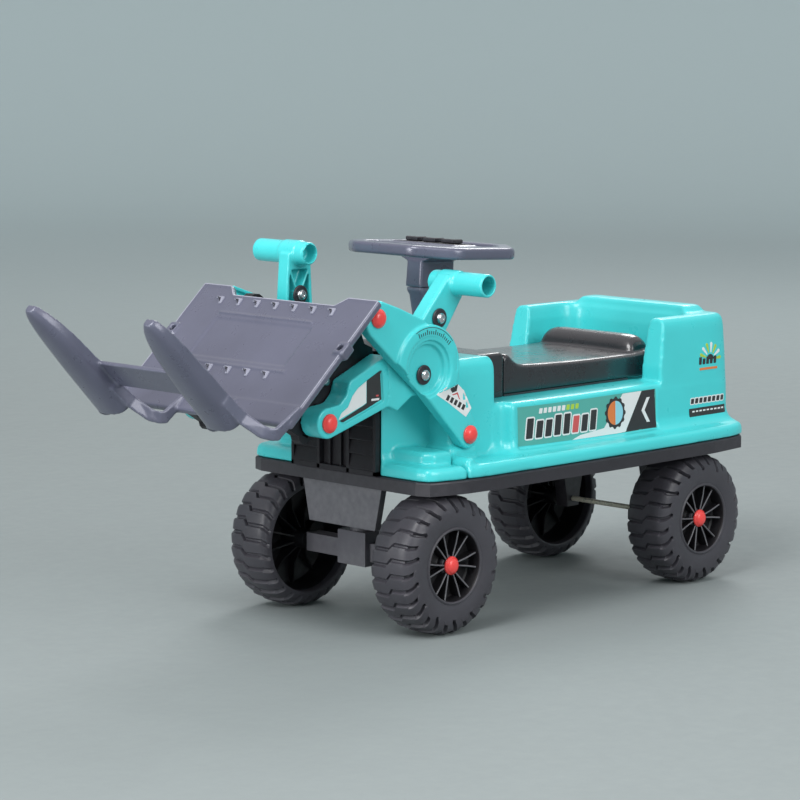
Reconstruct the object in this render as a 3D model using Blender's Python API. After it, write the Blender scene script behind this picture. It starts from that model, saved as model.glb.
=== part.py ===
"""Ride-on loader toy: a child's foot-to-floor vehicle with a lifting fork.

Stations are measured in metres from the front axle: +X runs forward to the
fork, +Y to the vehicle's left, +Z up, with the ground at z = 0.  The empty
"vehicle" moves the whole model so that the world origin is the bottom centre
of its bounding box.
"""

import math

import bmesh
import bpy
from mathutils import Vector

# ---------------------------------------------------------------- dimensions
ORIGIN_X = 0.0600  # world x of the front axle
GAP = 0.0003

WHEEL_R = 0.0750
WHEEL_IN, WHEEL_OUT = 0.0805, 0.1395
WHEEL_LUGS = 20
LUG_DEPTH = 0.0050
RIM_R = 0.0365
WHEELBASE = 0.4145
AXLE_R, AXLE_BORE = 0.0030, 0.0034

BASE_Z0, BASE_Z1, BASE_WALL = 0.1520, 0.1665, 0.0035
LIP_Z0, LIP_Z1 = 0.1668, 0.1810
SEAM_X = -0.0137
NOSE_X0, NOSE_X1 = -0.0355, 0.0364
NOSE_W0, NOSE_W1, NOSE_TOP = 0.0760, 0.0636, 0.2890
SHOULDER_X0, SHOULDER_X1 = -0.0970, -0.0360
SHOULDER_W, SHOULDER_TOP = 0.1040, 0.2870
DECK_Z = 0.2360
TUB_W = 0.1235
BACK_TOP, WING_TOP = 0.3150, 0.3070
SHELL = 0.0035

SEAT_X0, SEAT_X1, SEAT_W = -0.3850, -0.1395, 0.0780
SEAT_Z0, SEAT_Z1 = 0.2390, 0.2690
SEAT_HINGE = (-0.3950, 0.2445)

COLUMN_FOOT = (-0.0990, 0.2860)  # steering axis, x and z at the hood
COLUMN_TILT = math.radians(3.0)
WHEEL_PLANE = 0.1085  # steering wheel, along the axis from the foot
CRANK, CRANK_Z = 0.0400, 0.1200  # crank at the rod's foot, for the axle's tiller

PIVOT_REAR = (-0.0422, 0.2086)  # lift arms on the body
PIVOT_FORK = (0.0958, 0.3422)  # lift arms to the fork
PIVOT_TILT = (0.0235, 0.2775)  # tilt levers on the lift arms
PIVOT_LINK = (0.1513, 0.2379)  # tilt levers to the fork brackets
ROD_R, ROD_BORE = 0.0030, 0.0034
DISC = (0.0228, 0.2843)  # centre of the arms' round boss
ARM_Y0, ARM_Y1, DISC_Y = 0.1050, 0.1180, 0.1215
LINK_Y0, LINK_Y1, LINK_BACK = 0.0925, 0.1035, 0.0780
HANDLE_Y0, HANDLE_Y1 = 0.0745, 0.0920
HANDLE_LENGTH = 0.1158
HANDLE_ANGLE_L, HANDLE_ANGLE_R = math.radians(129.2), math.radians(90.4)
GRIP_Y0, GRIP_Y1, GRIP_R = 0.0580, 0.1375, 0.0125
BRACKET_Y0, BRACKET_Y1 = 0.0640, 0.0765

FORK_TOP = (0.1080, 0.3630)
FORK_SLOPE = math.atan2(-0.672, 0.742)  # panel direction, downwards and forwards
FORK_LENGTH, FORK_W, FORK_T = 0.2000, 0.1325, 0.0080
PRONG_SLOPE = math.radians(46.0)
PRONG_LENGTH = 0.1790
PRONG_MID, PRONG_WALL = 0.0840, 0.0034
PANEL_END = 0.1720  # the panel stops here; webs run on to the heel


# ------------------------------------------------------------------- helpers
def clear_scene():
    for obj in list(bpy.data.objects):
        bpy.data.objects.remove(obj, do_unlink=True)


def material(name, colour, roughness, metallic=0.0):
    mat = bpy.data.materials.new(name)
    mat.use_nodes = True
    shader = mat.node_tree.nodes["Principled BSDF"]
    shader.inputs["Base Color"].default_value = (*colour, 1.0)
    shader.inputs["Roughness"].default_value = roughness
    shader.inputs["Metallic"].default_value = metallic
    mat.diffuse_color = (*colour, 1.0)
    return mat


def mesh_object(name, bm):
    bmesh.ops.recalc_face_normals(bm, faces=bm.faces)
    mesh = bpy.data.meshes.new(name)
    bm.to_mesh(mesh)
    bm.free()
    obj = bpy.data.objects.new(name, mesh)
    bpy.context.scene.collection.objects.link(obj)
    return obj


def loft(name, sections):
    """A closed body through sections of equal point count, with flat ends."""
    bm = bmesh.new()
    rings = [[bm.verts.new(p) for p in section] for section in sections]
    n = len(rings[0])
    for a, b in zip(rings, rings[1:]):
        for i in range(n):
            bm.faces.new((a[i], a[(i + 1) % n], b[(i + 1) % n], b[i]))
    bm.faces.new(rings[0])
    bm.faces.new(rings[-1][::-1])
    return mesh_object(name, bm)


def offset(points, d):
    """The closed outline moved inwards by d, whichever way it runs."""
    n = len(points)
    area = sum(
        points[i][0] * points[(i + 1) % n][1] - points[(i + 1) % n][0] * points[i][1]
        for i in range(n)
    )
    turn = 1 if area > 0 else -1
    out = []
    for i in range(n):
        p, a, b = Vector(points[i]), Vector(points[i - 1]), Vector(points[(i + 1) % n])
        u, v = (p - a).normalized(), (b - p).normalized()
        nu, nv = Vector((-u.y, u.x)) * turn, Vector((-v.y, v.x)) * turn
        m = (nu + nv).normalized()
        out.append(tuple(p + m * d / max(0.35, m.dot(nu))))
    return out


def fillet(points, radius, steps=3):
    """The closed outline with its corners rounded; radius is one number or one for each corner."""
    n = len(points)
    radii = radius if isinstance(radius, (list, tuple)) else [radius] * n
    out = []
    for i in range(n):
        p, a, b = Vector(points[i]), Vector(points[i - 1]), Vector(points[(i + 1) % n])
        r = radii[i]
        u, v = (a - p), (b - p)
        lu, lv = u.length, v.length
        u.normalize()
        v.normalize()
        half = math.acos(max(-1.0, min(1.0, u.dot(v)))) / 2
        if r <= 0 or half > 1.5:
            out.append(tuple(p))
            continue
        back = min(r / math.tan(half), 0.48 * lu, 0.48 * lv)
        p0, p1 = p + u * back, p + v * back
        for k in range(steps + 1):
            t = k / steps
            out.append(tuple((1 - t) ** 2 * p0 + 2 * t * (1 - t) * p + t * t * p1))
    return out


def prism_z(name, outline, z0, z1, edge=0.0):
    """An outline in X and Y, extruded up, with a rounded top edge."""
    levels = [(z0, 0.0), (z1 - edge, 0.0)]
    if edge:
        levels += [(z1 - 0.3 * edge, 0.3 * edge), (z1, edge)]
    else:
        levels[1] = (z1, 0.0)
    return loft(
        name, [[(x, y, z) for x, y in offset(outline, d)] for z, d in levels]
    )


def stepped(name, outline, levels):
    """An outline in X and Y, lofted up through (z, inset) levels."""
    return loft(name, [[(x, y, z) for x, y in offset(outline, d)] for z, d in levels])


def plate_y(name, outline, y0, y1, edge=0.0):
    """An outline in X and Z, extruded along Y, with its outer edge chamfered."""
    step = edge if y1 > y0 else -edge
    levels = [(y0, 0.0), (y1 - step, 0.0), (y1, edge)] if edge else [(y0, 0), (y1, 0)]
    return loft(
        name, [[(x, y, z) for x, z in offset(outline, d)] for y, d in levels]
    )


def box(name, low, high):
    (x0, y0, z0), (x1, y1, z1) = low, high
    return loft(
        name,
        [
            [(x0, y0, z), (x1, y0, z), (x1, y1, z), (x0, y1, z)]
            for z in (z0, z1)
        ],
    )


def lathe(name, profile, base, direction, steps=20, radius_at=None, closed=False):
    """A turned body: profile is (distance along the axis, radius).

    A closed profile is a ring about the axis; an open one starts and ends at
    radius 0.  radius_at(k, i, r) may change a radius with the angle step k.
    """
    axis = Vector(direction).normalized()
    side = axis.orthogonal().normalized()
    if abs(axis.y) > 0.99:
        side = Vector((0, 0, -1))
    other = axis.cross(side)
    bm = bmesh.new()
    rings = []
    for i, (h, r) in enumerate(profile):
        centre = Vector(base) + axis * h
        if r == 0:
            rings.append([bm.verts.new(centre)])
            continue
        ring = []
        for k in range(steps):
            angle = 2 * math.pi * k / steps
            rr = radius_at(k, i, r) if radius_at else r
            ring.append(
                bm.verts.new(
                    centre + (side * math.cos(angle) + other * math.sin(angle)) * rr
                )
            )
        rings.append(ring)
    pairs = list(zip(rings, rings[1:]))
    if closed:
        pairs.append((rings[-1], rings[0]))
    for a, b in pairs:
        for k in range(steps):
            j = (k + 1) % steps
            if len(a) == 1:
                bm.faces.new((a[0], b[j], b[k]))
            elif len(b) == 1:
                bm.faces.new((a[k], a[j], b[0]))
            else:
                bm.faces.new((a[k], a[j], b[j], b[k]))
    return mesh_object(name, bm)


def cylinder(name, base, direction, length, radius, steps=16, chamfer=0.0):
    c = chamfer
    profile = [(0, 0), (0, radius - c)]
    if c:
        profile += [(c, radius), (length - c, radius)]
    else:
        profile += []
    profile += [(length, radius - c), (length, 0)]
    return lathe(name, profile, base, direction, steps)


def tube_profile(y0, y1, inner, outer):
    return [(y0, inner), (y1, inner), (y1, outer), (y0, outer)]


def combine(target, tool, operation):
    bpy.context.view_layer.update()
    modifier = target.modifiers.new("shape", "BOOLEAN")
    modifier.operation = operation
    modifier.solver = "EXACT"
    modifier.object = tool
    graph = bpy.context.evaluated_depsgraph_get()
    mesh = bpy.data.meshes.new_from_object(target.evaluated_get(graph))
    target.modifiers.clear()
    target.data = mesh
    bpy.data.objects.remove(tool, do_unlink=True)
    return target


def join(target, *tools):
    for tool in tools:
        combine(target, tool, "UNION")
    return target


def cut(target, *tools):
    for tool in tools:
        combine(target, tool, "DIFFERENCE")
    return target


def bore_y(x, z, radius, y0, y1, steps=12):
    return cylinder("bore", (x, y0, z), (0, 1, 0), y1 - y0, radius, steps)


def mirrored(obj, name):
    """A copy of the body on the vehicle's other side."""
    bm = bmesh.new()
    bm.from_mesh(obj.data)
    for vert in bm.verts:
        vert.co.y = -vert.co.y
    bmesh.ops.reverse_faces(bm, faces=bm.faces)
    mesh = bpy.data.meshes.new(name)
    bm.to_mesh(mesh)
    bm.free()
    copy = bpy.data.objects.new(name, mesh)
    bpy.context.scene.collection.objects.link(copy)
    return copy


def empty(name, at, parent=None):
    obj = bpy.data.objects.new(name, None)
    bpy.context.scene.collection.objects.link(obj)
    obj.empty_display_size = 0.03
    obj.parent = parent
    base = Vector((0, 0, 0))
    walk = parent
    while walk is not None and walk.name != "vehicle":
        base += walk.location
        walk = walk.parent
    obj.location = Vector(at) - base
    return obj


def station(obj):
    """Where an empty stands, in stations from the front axle."""
    at = Vector((0, 0, 0))
    while obj is not None and obj.name != "vehicle":
        at += obj.location
        obj = obj.parent
    return at


def finish(obj, name, mat, pivot, smooth=30):
    """Names the body, gives it its material and hangs it on its joint's empty."""
    obj.name = name
    obj.data.name = name
    at = station(pivot)
    for vert in obj.data.vertices:
        vert.co -= at
    obj.data.materials.clear()
    obj.data.materials.append(mat)
    obj.data.shade_smooth()
    obj.data.set_sharp_from_angle(angle=math.radians(smooth))
    obj.parent = pivot
    return obj


# ---------------------------------------------------------------- the object
clear_scene()

TEAL = material("teal_plastic", (0.07, 0.60, 0.62), 0.32)
GREY = material("violet_grey_plastic", (0.20, 0.19, 0.25), 0.42)
BLACK = material("black_plastic", (0.018, 0.017, 0.020), 0.30)
CHARCOAL = material("charcoal_plastic", (0.085, 0.080, 0.088), 0.55)
MID_GREY = material("mid_grey_plastic", (0.14, 0.135, 0.14), 0.50)
RED = material("red_plastic", (0.75, 0.03, 0.035), 0.35)
STEEL = material("zinc_steel", (0.62, 0.62, 0.64), 0.30, 1.0)

COLUMN_DIR = Vector((-math.sin(COLUMN_TILT), 0, math.cos(COLUMN_TILT)))
COLUMN_BASE = Vector((COLUMN_FOOT[0], 0, COLUMN_FOOT[1]))


def on_column(h, side=0.0):
    return COLUMN_BASE + COLUMN_DIR * h + Vector((0, side, 0))


vehicle = empty("vehicle", (0, 0, 0))
vehicle.location = (ORIGIN_X, 0, 0)
chassis = empty("chassis_frame", (0, 0, 0), vehicle)
steering = empty("steering_axis", on_column(0.0), vehicle)
axle_pivot = empty("front_axle_pivot", (0, 0, WHEEL_R), vehicle)
lift = empty("lift_axis", (PIVOT_REAR[0], 0, PIVOT_REAR[1]), vehicle)
tilt = empty("tilt_axis", (PIVOT_TILT[0], 0, PIVOT_TILT[1]), lift)
fork_pivot = empty("fork_axis", (PIVOT_FORK[0], 0, PIVOT_FORK[1]), lift)
seat_pivot = empty("seat_axis", (SEAT_HINGE[0], 0, SEAT_HINGE[1]), vehicle)


# Base plate: the outline of the whole vehicle, as half-widths at stations.
HALF_BASE = [
    (0.0400, 0.1180),
    (0.0340, 0.1335),
    (0.0120, 0.1410),
    (-0.0120, 0.1460),
    (-0.0600, 0.1495),
    (-0.2500, 0.1515),
    (-0.4200, 0.1495),
    (-0.4770, 0.1425),
    (-0.4970, 0.1225),
    (-0.5080, 0.0900),
]


def both_sides(half):
    return [(x, -y) for x, y in half] + [(x, y) for x, y in reversed(half)]


base_outline = both_sides(HALF_BASE)
base = prism_z("base", base_outline, BASE_Z0, BASE_Z1, 0.0020)
cut(
    base,
    prism_z("inside", offset(base_outline, 0.0040), BASE_Z0 - 0.01, BASE_Z1 - BASE_WALL),
    cylinder("rod_hole", (-0.0925, 0, 0.15), (0, 0, 1), 0.03, 0.0090, 12),
)
finish(base, "base_plate", BLACK, chassis)


# Front cowl: a lip that follows the base plate and a narrow nose.
front_lip = offset(
    both_sides([p for p in HALF_BASE if p[0] > -0.012] + [(SEAM_X, 0.1462)]), 0.0015
)
cowl = prism_z("lip", front_lip, LIP_Z0, LIP_Z1, 0.0050)
nose_outline = [
    (NOSE_X0, -NOSE_W0),
    (NOSE_X1, -NOSE_W1),
    (NOSE_X1, NOSE_W1),
    (NOSE_X0, NOSE_W0),
]
join(cowl, prism_z("nose", nose_outline, LIP_Z0, NOSE_TOP, 0.0030))
cut(
    cowl,
    prism_z("hollow", offset(nose_outline, SHELL), LIP_Z0 - 0.01, NOSE_TOP - SHELL),
    box("grille_room", (NOSE_X1, -0.0650, LIP_Z0 - 0.01), (0.06, 0.0650, LIP_Z1 + 0.01)),
)
finish(cowl, "front_cowl", TEAL, chassis)

# Front grille: a louvred black panel with a recessed centre.
GRILLE_X0, GRILLE_X1 = NOSE_X1 + GAP, 0.0452
grille = box(
    "grille", (GRILLE_X0, -0.0642, LIP_Z0), (GRILLE_X1, 0.0642, 0.3000)
)
for row in range(6):
    z = 0.1900 + row * 0.0165
    for y0, y1 in ((-0.0590, -0.0250), (0.0250, 0.0590)):
        cut(grille, box("slot", (GRILLE_X1 - 0.003, y0, z), (0.06, y1, z + 0.009)))
cut(grille, box("recess", (GRILLE_X1 - 0.005, -0.0210, 0.188), (0.06, 0.0210, 0.275)))
finish(grille, "front_grille", BLACK, chassis)

# Hood cover: black cap over the nose.
hood_outline = [
    (NOSE_X0 + 0.0003, -NOSE_W0 + 0.0035),
    (NOSE_X1, -NOSE_W1 + 0.0010),
    (NOSE_X1, NOSE_W1 - 0.0010),
    (NOSE_X0 + 0.0003, NOSE_W0 - 0.0035),
]
hood = prism_z("hood", hood_outline, NOSE_TOP + GAP, 0.2990, 0.0040)
finish(hood, "hood_cover", BLACK, chassis)

# Chin plate: grey apron in front of the axle.
chin = loft(
    "chin",
    [
        [(x, -0.0500, 0.1050), (x, 0.0500, 0.1050), (x, 0.0625, 0.1627), (x, -0.0625, 0.1627)]
        for x in (0.0235, 0.0315)
    ],
)
finish(chin, "chin_plate", MID_GREY, chassis)

# Kingpin socket: the post under the base plate that the front axle turns in.
socket = lathe(
    "socket",
    [
        (0.1090, 0.0044),
        (0.1627, 0.0044),
        (0.1627, 0.0170),
        (0.1500, 0.0150),
        (0.1090, 0.0150),
    ],
    (0, 0, 0),
    (0, 0, 1),
    20,
    closed=True,
)
finish(socket, "kingpin_socket", BLACK, chassis)

# Rear body: lip, tub, shoulders, wings and backrest in one hollow moulding.
rear_half = [(SEAM_X - 0.0003, 0.1462)] + [p for p in HALF_BASE if p[0] < -0.05]
rear_lip = (
    [(SHOULDER_X1, -NOSE_W0 - 0.0015), (SEAM_X - 0.0003, -NOSE_W0 - 0.0015)]
    + [(x, -y + 0.0015) for x, y in rear_half]
    + [(x, y - 0.0015) for x, y in reversed(rear_half)]
    + [(SEAM_X - 0.0003, NOSE_W0 + 0.0015), (SHOULDER_X1, NOSE_W0 + 0.0015)]
)
body = prism_z("lip", rear_lip, LIP_Z0, LIP_Z1, 0.0050)
tub_half = [
    (-0.0900, 0.1070),
    (-0.1020, 0.1080),
    (-0.1080, 0.1180),
    (-0.1300, 0.1215),
    (-0.2300, TUB_W),
    (-0.3300, 0.1215),
    (-0.4300, 0.1190),
    (-0.4740, 0.1150),
    (-0.4870, 0.1030),
    (-0.4910, 0.0800),
]
tub_outline = both_sides(tub_half)
shoulder = [
    (SHOULDER_X0, -SHOULDER_W),
    (SHOULDER_X1, -SHOULDER_W),
    (SHOULDER_X1, SHOULDER_W),
    (SHOULDER_X0, SHOULDER_W),
]
wing_outline = both_sides([(-0.3560, 0.1210)] + tub_half[6:])
wings = stepped(
    "wings",
    wing_outline,
    [(0.1700, 0.0008), (0.2300, 0.0028), (0.2630, 0.0045), (0.2990, 0.0072), (0.3046, 0.0100), (WING_TOP, 0.0160)],
)
back = prism_z(
    "back",
    [(-0.4820, -0.0860), (-0.4380, -0.0860), (-0.4380, 0.0860), (-0.4820, 0.0860)],
    DECK_Z - 0.004,
    BACK_TOP,
    0.0080,
)
join(wings, back)
cut(wings, box("seat_room", (-0.4400, -0.0890, DECK_Z - 0.01), (-0.30, 0.0890, 0.40)))
# The wings' front edges lean back.
lean = loft(
    "lean",
    [
        [(-0.3300, y, DECK_Z - 0.02), (-0.3535, y, DECK_Z - 0.02), (-0.3740, y, 0.34), (-0.3300, y, 0.34)]
        for y in (-0.2, 0.2)
    ],
)
cut(wings, lean)
join(
    body,
    stepped("tub", tub_outline, [(LIP_Z0, 0), (0.2300, 0.0024), (0.2342, 0.0044), (DECK_Z, 0.0084)]),
    prism_z("shoulder", shoulder, LIP_Z0, SHOULDER_TOP, 0.0050),
    wings,
)
cut(
    body,
    stepped("tub_hollow", offset(tub_outline, 0.0045), [(LIP_Z0 - 0.01, 0), (DECK_Z - 0.0040, 0.0026)]),
    prism_z("shoulder_hollow", offset(shoulder, SHELL), LIP_Z0 - 0.01, SHOULDER_TOP - SHELL),
    box("back_hollow", (-0.4770, -0.0800, 0.20), (-0.4450, 0.0800, BACK_TOP - 0.0080)),
    box("bin_opening", (-0.3445, -0.0725, 0.20), (-0.1455, 0.0725, DECK_Z + 0.01)),
    bore_y(*PIVOT_REAR, ROD_BORE, -0.12, 0.12),
    cylinder("shaft_hole", on_column(-0.13), COLUMN_DIR, 0.15, 0.0065, 12),
)
hinge_x, hinge_z = SEAT_HINGE
for s in (1, -1):
    post = box(
        "post",
        (hinge_x - 0.0060, min(s * 0.0700, s * 0.0770), DECK_Z - 0.002),
        (hinge_x + 0.0060, max(s * 0.0700, s * 0.0770), hinge_z + 0.0060),
    )
    cut(post, bore_y(hinge_x, hinge_z, 0.0024, -0.09, 0.09))
    join(body, post)
finish(body, "rear_body", TEAL, chassis)

# Seat: fixed front trim, storage bin below, hinged lid and its pin.
trim_outline = [(SEAT_X1 + 0.0006, -SEAT_W), (SHOULDER_X0 - GAP, -SEAT_W), (SHOULDER_X0 - GAP, SEAT_W), (SEAT_X1 + 0.0006, SEAT_W)]
trim = prism_z("trim", trim_outline, DECK_Z + GAP, 0.2850, 0.0030)
cut(
    trim,
    prism_z("inside", offset(trim_outline, 0.0040), DECK_Z - 0.01, 0.2810),
    cylinder("shaft_hole", on_column(-0.13), COLUMN_DIR, 0.15, 0.0065, 12),
)
finish(trim, "seat_front_trim", BLACK, chassis)

bin_outer = [(-0.3435, -0.0715), (-0.1465, -0.0715), (-0.1465, 0.0715), (-0.3435, 0.0715)]
bin_rim = [(-0.3500, -0.0765), (-0.1410, -0.0765), (-0.1410, 0.0765), (-0.3500, 0.0765)]
storage = prism_z("bin", bin_outer, BASE_Z1 + GAP, DECK_Z + 0.0010)
join(storage, prism_z("rim", bin_rim, DECK_Z + GAP, DECK_Z + 0.0023))
cut(storage, prism_z("inside", offset(bin_outer, 0.0025), BASE_Z1 + 0.0030, DECK_Z + 0.02))
finish(storage, "storage_bin", BLACK, chassis)

finish(
    cylinder("pin", (hinge_x, -0.0785, hinge_z), (0, 1, 0), 0.1570, 0.0020, 12),
    "seat_hinge_pin",
    STEEL,
    chassis,
)


def seat_section(x, top, crown, w=SEAT_W):
    """One cross-section of the lid: flat base, straight sides, crowned top."""
    z0 = SEAT_Z0
    return [
        (x, -w, z0),
        (x, -w, top - 0.0040),
        (x, -w + 0.0040, top),
        (x, -w / 2, top + crown * 0.75),
        (x, 0, top + crown),
        (x, w / 2, top + crown * 0.75),
        (x, w - 0.0040, top),
        (x, w, top - 0.0040),
        (x, w, z0),
    ]


lid_line = [
    (SEAT_X1, 0.2800, 0.0005),
    (-0.1440, 0.2835, 0.0008),
    (-0.1540, 0.2775, 0.0010),
    (-0.1680, 0.2690, 0.0010),
    (-0.2200, 0.2665, 0.0010),
    (-0.2900, 0.2655, 0.0010),
    (-0.3300, 0.2680, 0.0010),
    (-0.3440, 0.2740, 0.0030, 0.0740),
    (-0.3550, 0.2820, 0.0050, 0.0725),
    (-0.3670, 0.2840, 0.0050, 0.0720),
    (-0.3780, 0.2780, 0.0050, 0.0720),
    (SEAT_X0, 0.2660, 0.0040, 0.0720),
]
lid = loft("lid", [seat_section(*line) for line in lid_line])
cut(
    lid,
    box(
        "underside",
        (SEAT_X0 + 0.0040, -0.0680, SEAT_Z0 - 0.01),
        (SEAT_X1 - 0.0040, 0.0680, SEAT_Z1 - 0.0080),
    ),
)
for s in (1, -1):
    knuckle = box(
        "knuckle",
        (hinge_x, min(s * 0.0500, s * 0.0680), hinge_z - 0.0045),
        (SEAT_X0 + 0.002, max(s * 0.0500, s * 0.0680), hinge_z + 0.0045),
    )
    join(
        knuckle,
        bore_y(hinge_x, hinge_z, 0.0050, min(s * 0.0500, s * 0.0680), max(s * 0.0500, s * 0.0680), 12),
    )
    join(lid, knuckle)
cut(lid, bore_y(hinge_x, hinge_z, 0.0024, -0.09, 0.09))
finish(lid, "seat_lid", BLACK, seat_pivot)

# Steering: fixed column cone, turning rod with its crank, wheel and buttons.


def column_section(h, half_x, half_y):
    return [
        tuple(on_column(h, y) + ring_v * x)
        for x, y in fillet(
            [(-half_x, -half_y), (half_x, -half_y), (half_x, half_y), (-half_x, half_y)], 0.004, 2
        )
    ]


ring_v = Vector((math.cos(COLUMN_TILT), 0, math.sin(COLUMN_TILT)))
column = loft(
    "column",
    [
        column_section(0.0020, 0.0190, 0.0150),
        column_section(0.0070, 0.0190, 0.0150),
        column_section(0.0120, 0.0140, 0.0100),
        column_section(0.0400, 0.0175, 0.0110),
        column_section(0.0650, 0.0250, 0.0115),
        column_section(0.0675, 0.0250, 0.0115),
    ],
)
cut(column, cylinder("rod_bore", on_column(-0.01), COLUMN_DIR, 0.09, 0.0052, 12))
finish(column, "steering_column", GREY, chassis)

foot = on_column((CRANK_Z - COLUMN_FOOT[1]) / COLUMN_DIR.z)
rod_points = [
    on_column(WHEEL_PLANE - 0.0020),
    foot,
    foot + Vector((-CRANK, 0, 0)),
    foot + Vector((-CRANK, 0, -0.0340)),
]
spine = bpy.data.curves.new("rod", "CURVE")
spine.dimensions = "3D"
spline = spine.splines.new("POLY")
spline.points.add(len(rod_points) - 1)
for point, at in zip(spline.points, rod_points):
    point.co = (*at, 1.0)
spine.bevel_depth = 0.0035
spine.bevel_resolution = 2
spine.use_fill_caps = True
curve = bpy.data.objects.new("rod_curve", spine)
bpy.context.scene.collection.objects.link(curve)
bpy.context.view_layer.update()
rod_mesh = bpy.data.meshes.new_from_object(
    curve.evaluated_get(bpy.context.evaluated_depsgraph_get())
)
bpy.data.objects.remove(curve, do_unlink=True)
weld = bmesh.new()
weld.from_mesh(rod_mesh)
bmesh.ops.remove_doubles(weld, verts=weld.verts, dist=1e-6)
rod = mesh_object("rod", weld)
finish(rod, "steering_rod", STEEL, steering)

# The steering wheel: an eight-sided ring on two spokes about a hub.
def wheel_plane(outline, h0, h1, edge):
    levels = [(h0, edge), (h0 + edge, 0), (h1 - edge, 0), (h1, edge)]
    return [
        [tuple(on_column(h, y) + ring_v * x) for x, y in offset(outline, d)]
        for h, d in levels
    ]


WHEEL_H0, WHEEL_H1 = WHEEL_PLANE - 0.0045, WHEEL_PLANE + 0.0080
ring_out = fillet(
    [(-0.0775, -0.043), (-0.043, -0.085), (0.043, -0.085), (0.0775, -0.043), (0.0775, 0.043), (0.043, 0.085), (-0.043, 0.085), (-0.0775, 0.043)],
    0.020,
    2,
)
ring = loft("ring", wheel_plane(ring_out, WHEEL_H0, WHEEL_H1, 0.0030))
for x0, x1 in ((0.0230, 0.0560), (-0.0560, -0.0270)):
    far, near = (x1, x0) if x1 > 0 else (x0, x1)
    window = fillet(
        [(near, -0.058), (near, 0.058), ((near + far) / 2, 0.060), (far, 0.036), (far, -0.036), ((near + far) / 2, -0.060)],
        0.007,
        2,
    )
    cut(ring, loft("window", wheel_plane(window, WHEEL_H0 - 0.01, WHEEL_H1 + 0.01, 0.0)))
join(
    ring,
    loft(
        "stem",
        [
            column_section(0.0680, 0.0262, 0.0120),
            column_section(0.0960, 0.0258, 0.0118),
            column_section(0.0990, 0.0245, 0.0240),
            column_section(WHEEL_PLANE, 0.0245, 0.0260),
        ],
    ),
)
hub_hole = [(-0.0190, -0.0450), (0.0110, -0.0450), (0.0110, 0.0450), (-0.0190, 0.0450)]
cut(
    ring,
    loft("pad_seat", wheel_plane(offset(hub_hole, -0.0005), WHEEL_PLANE + 0.0040, WHEEL_H1 + 0.02, 0.0)),
    cylinder("rod_seat", on_column(0.05), COLUMN_DIR, WHEEL_PLANE - 0.0515, 0.0039, 12),
)
finish(ring, "steering_wheel", GREY, steering)

pad = loft("pad", wheel_plane(hub_hole, WHEEL_PLANE + 0.0043, WHEEL_PLANE + 0.0080, 0.0))
for y in (-0.027, 0.0, 0.027):
    hole = [(-0.0125, y - 0.0095), (0.0045, y - 0.0095), (0.0045, y + 0.0095), (-0.0125, y + 0.0095)]
    cut(pad, loft("hole", wheel_plane(hole, WHEEL_PLANE + 0.0060, WHEEL_PLANE + 0.02, 0.0)))
finish(pad, "horn_panel", CHARCOAL, steering)
BUTTON_TRAVEL = 0.0020
for label, y in (("left", 0.027), ("middle", 0.0), ("right", -0.027)):
    face = [(-0.0118, y - 0.0088), (0.0038, y - 0.0088), (0.0038, y + 0.0088), (-0.0118, y + 0.0088)]
    button = loft(
        "button",
        wheel_plane(face, WHEEL_PLANE + 0.0063 + BUTTON_TRAVEL, WHEEL_PLANE + 0.0130, 0.0010),
    )
    slide = empty("button_" + label + "_slide", on_column(WHEEL_PLANE, y), steering)
    finish(button, "horn_button_" + label, BLACK, slide)

# Front axle: beam with a slotted tiller, kingpin, cross rod.
beam = box("beam", (-0.0100, -0.0770, WHEEL_R - 0.0100), (0.0100, 0.0770, WHEEL_R + 0.0100))
join(
    beam,
    box("block", (-0.0170, -0.0210, WHEEL_R - 0.0150), (0.0170, 0.0210, WHEEL_R + 0.0220)),
    cylinder("neck", (0, 0, WHEEL_R + 0.020), (0, 0, 1), 0.0135, 0.0140, 16),
    box("tiller", (-0.1415, -0.0110, WHEEL_R + 0.0170), (-0.0100, 0.0110, WHEEL_R + 0.0210)),
)
cut(
    beam,
    box("slot", (-0.1365, -0.0056, WHEEL_R + 0.010), (-0.1165, 0.0056, WHEEL_R + 0.03)),
    cylinder("kingpin_bore", (0, 0, WHEEL_R + 0.006), (0, 0, 1), 0.05, 0.0044, 12),
    bore_y(0, WHEEL_R, AXLE_BORE, -0.09, 0.09),
)
finish(beam, "front_axle_beam", MID_GREY, axle_pivot)
finish(
    cylinder("kingpin", (0, 0, WHEEL_R + 0.0075), (0, 0, 1), 0.0780, 0.0040, 12),
    "kingpin",
    STEEL,
    axle_pivot,
)


def axle_rod(name, x, parent):
    rod = cylinder("axle", (x, -0.1315, WHEEL_R), (0, 1, 0), 0.2630, AXLE_R, 12)
    return finish(rod, name, STEEL, parent)


axle_rod("front_axle_rod", 0.0, axle_pivot)
axle_rod("rear_axle_rod", -WHEELBASE, chassis)

bracket = loft(
    "bracket",
    [
        [
            (-WHEELBASE - 0.0100, y, WHEEL_R - 0.0090),
            (-WHEELBASE + 0.0100, y, WHEEL_R - 0.0090),
            (-WHEELBASE + 0.0120, y, WHEEL_R + 0.0080),
            (-WHEELBASE + 0.0300, y, BASE_Z1 - BASE_WALL - GAP),
            (-WHEELBASE - 0.0300, y, BASE_Z1 - BASE_WALL - GAP),
            (-WHEELBASE - 0.0120, y, WHEEL_R + 0.0080),
        ]
        for y in (0.0600, 0.0770)
    ],
)
cut(bracket, bore_y(-WHEELBASE, WHEEL_R, AXLE_BORE, 0.05, 0.09))
right_bracket = mirrored(bracket, "right")
finish(bracket, "axle_bracket_left", BLACK, chassis)
finish(right_bracket, "axle_bracket_right", BLACK, chassis)

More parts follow.
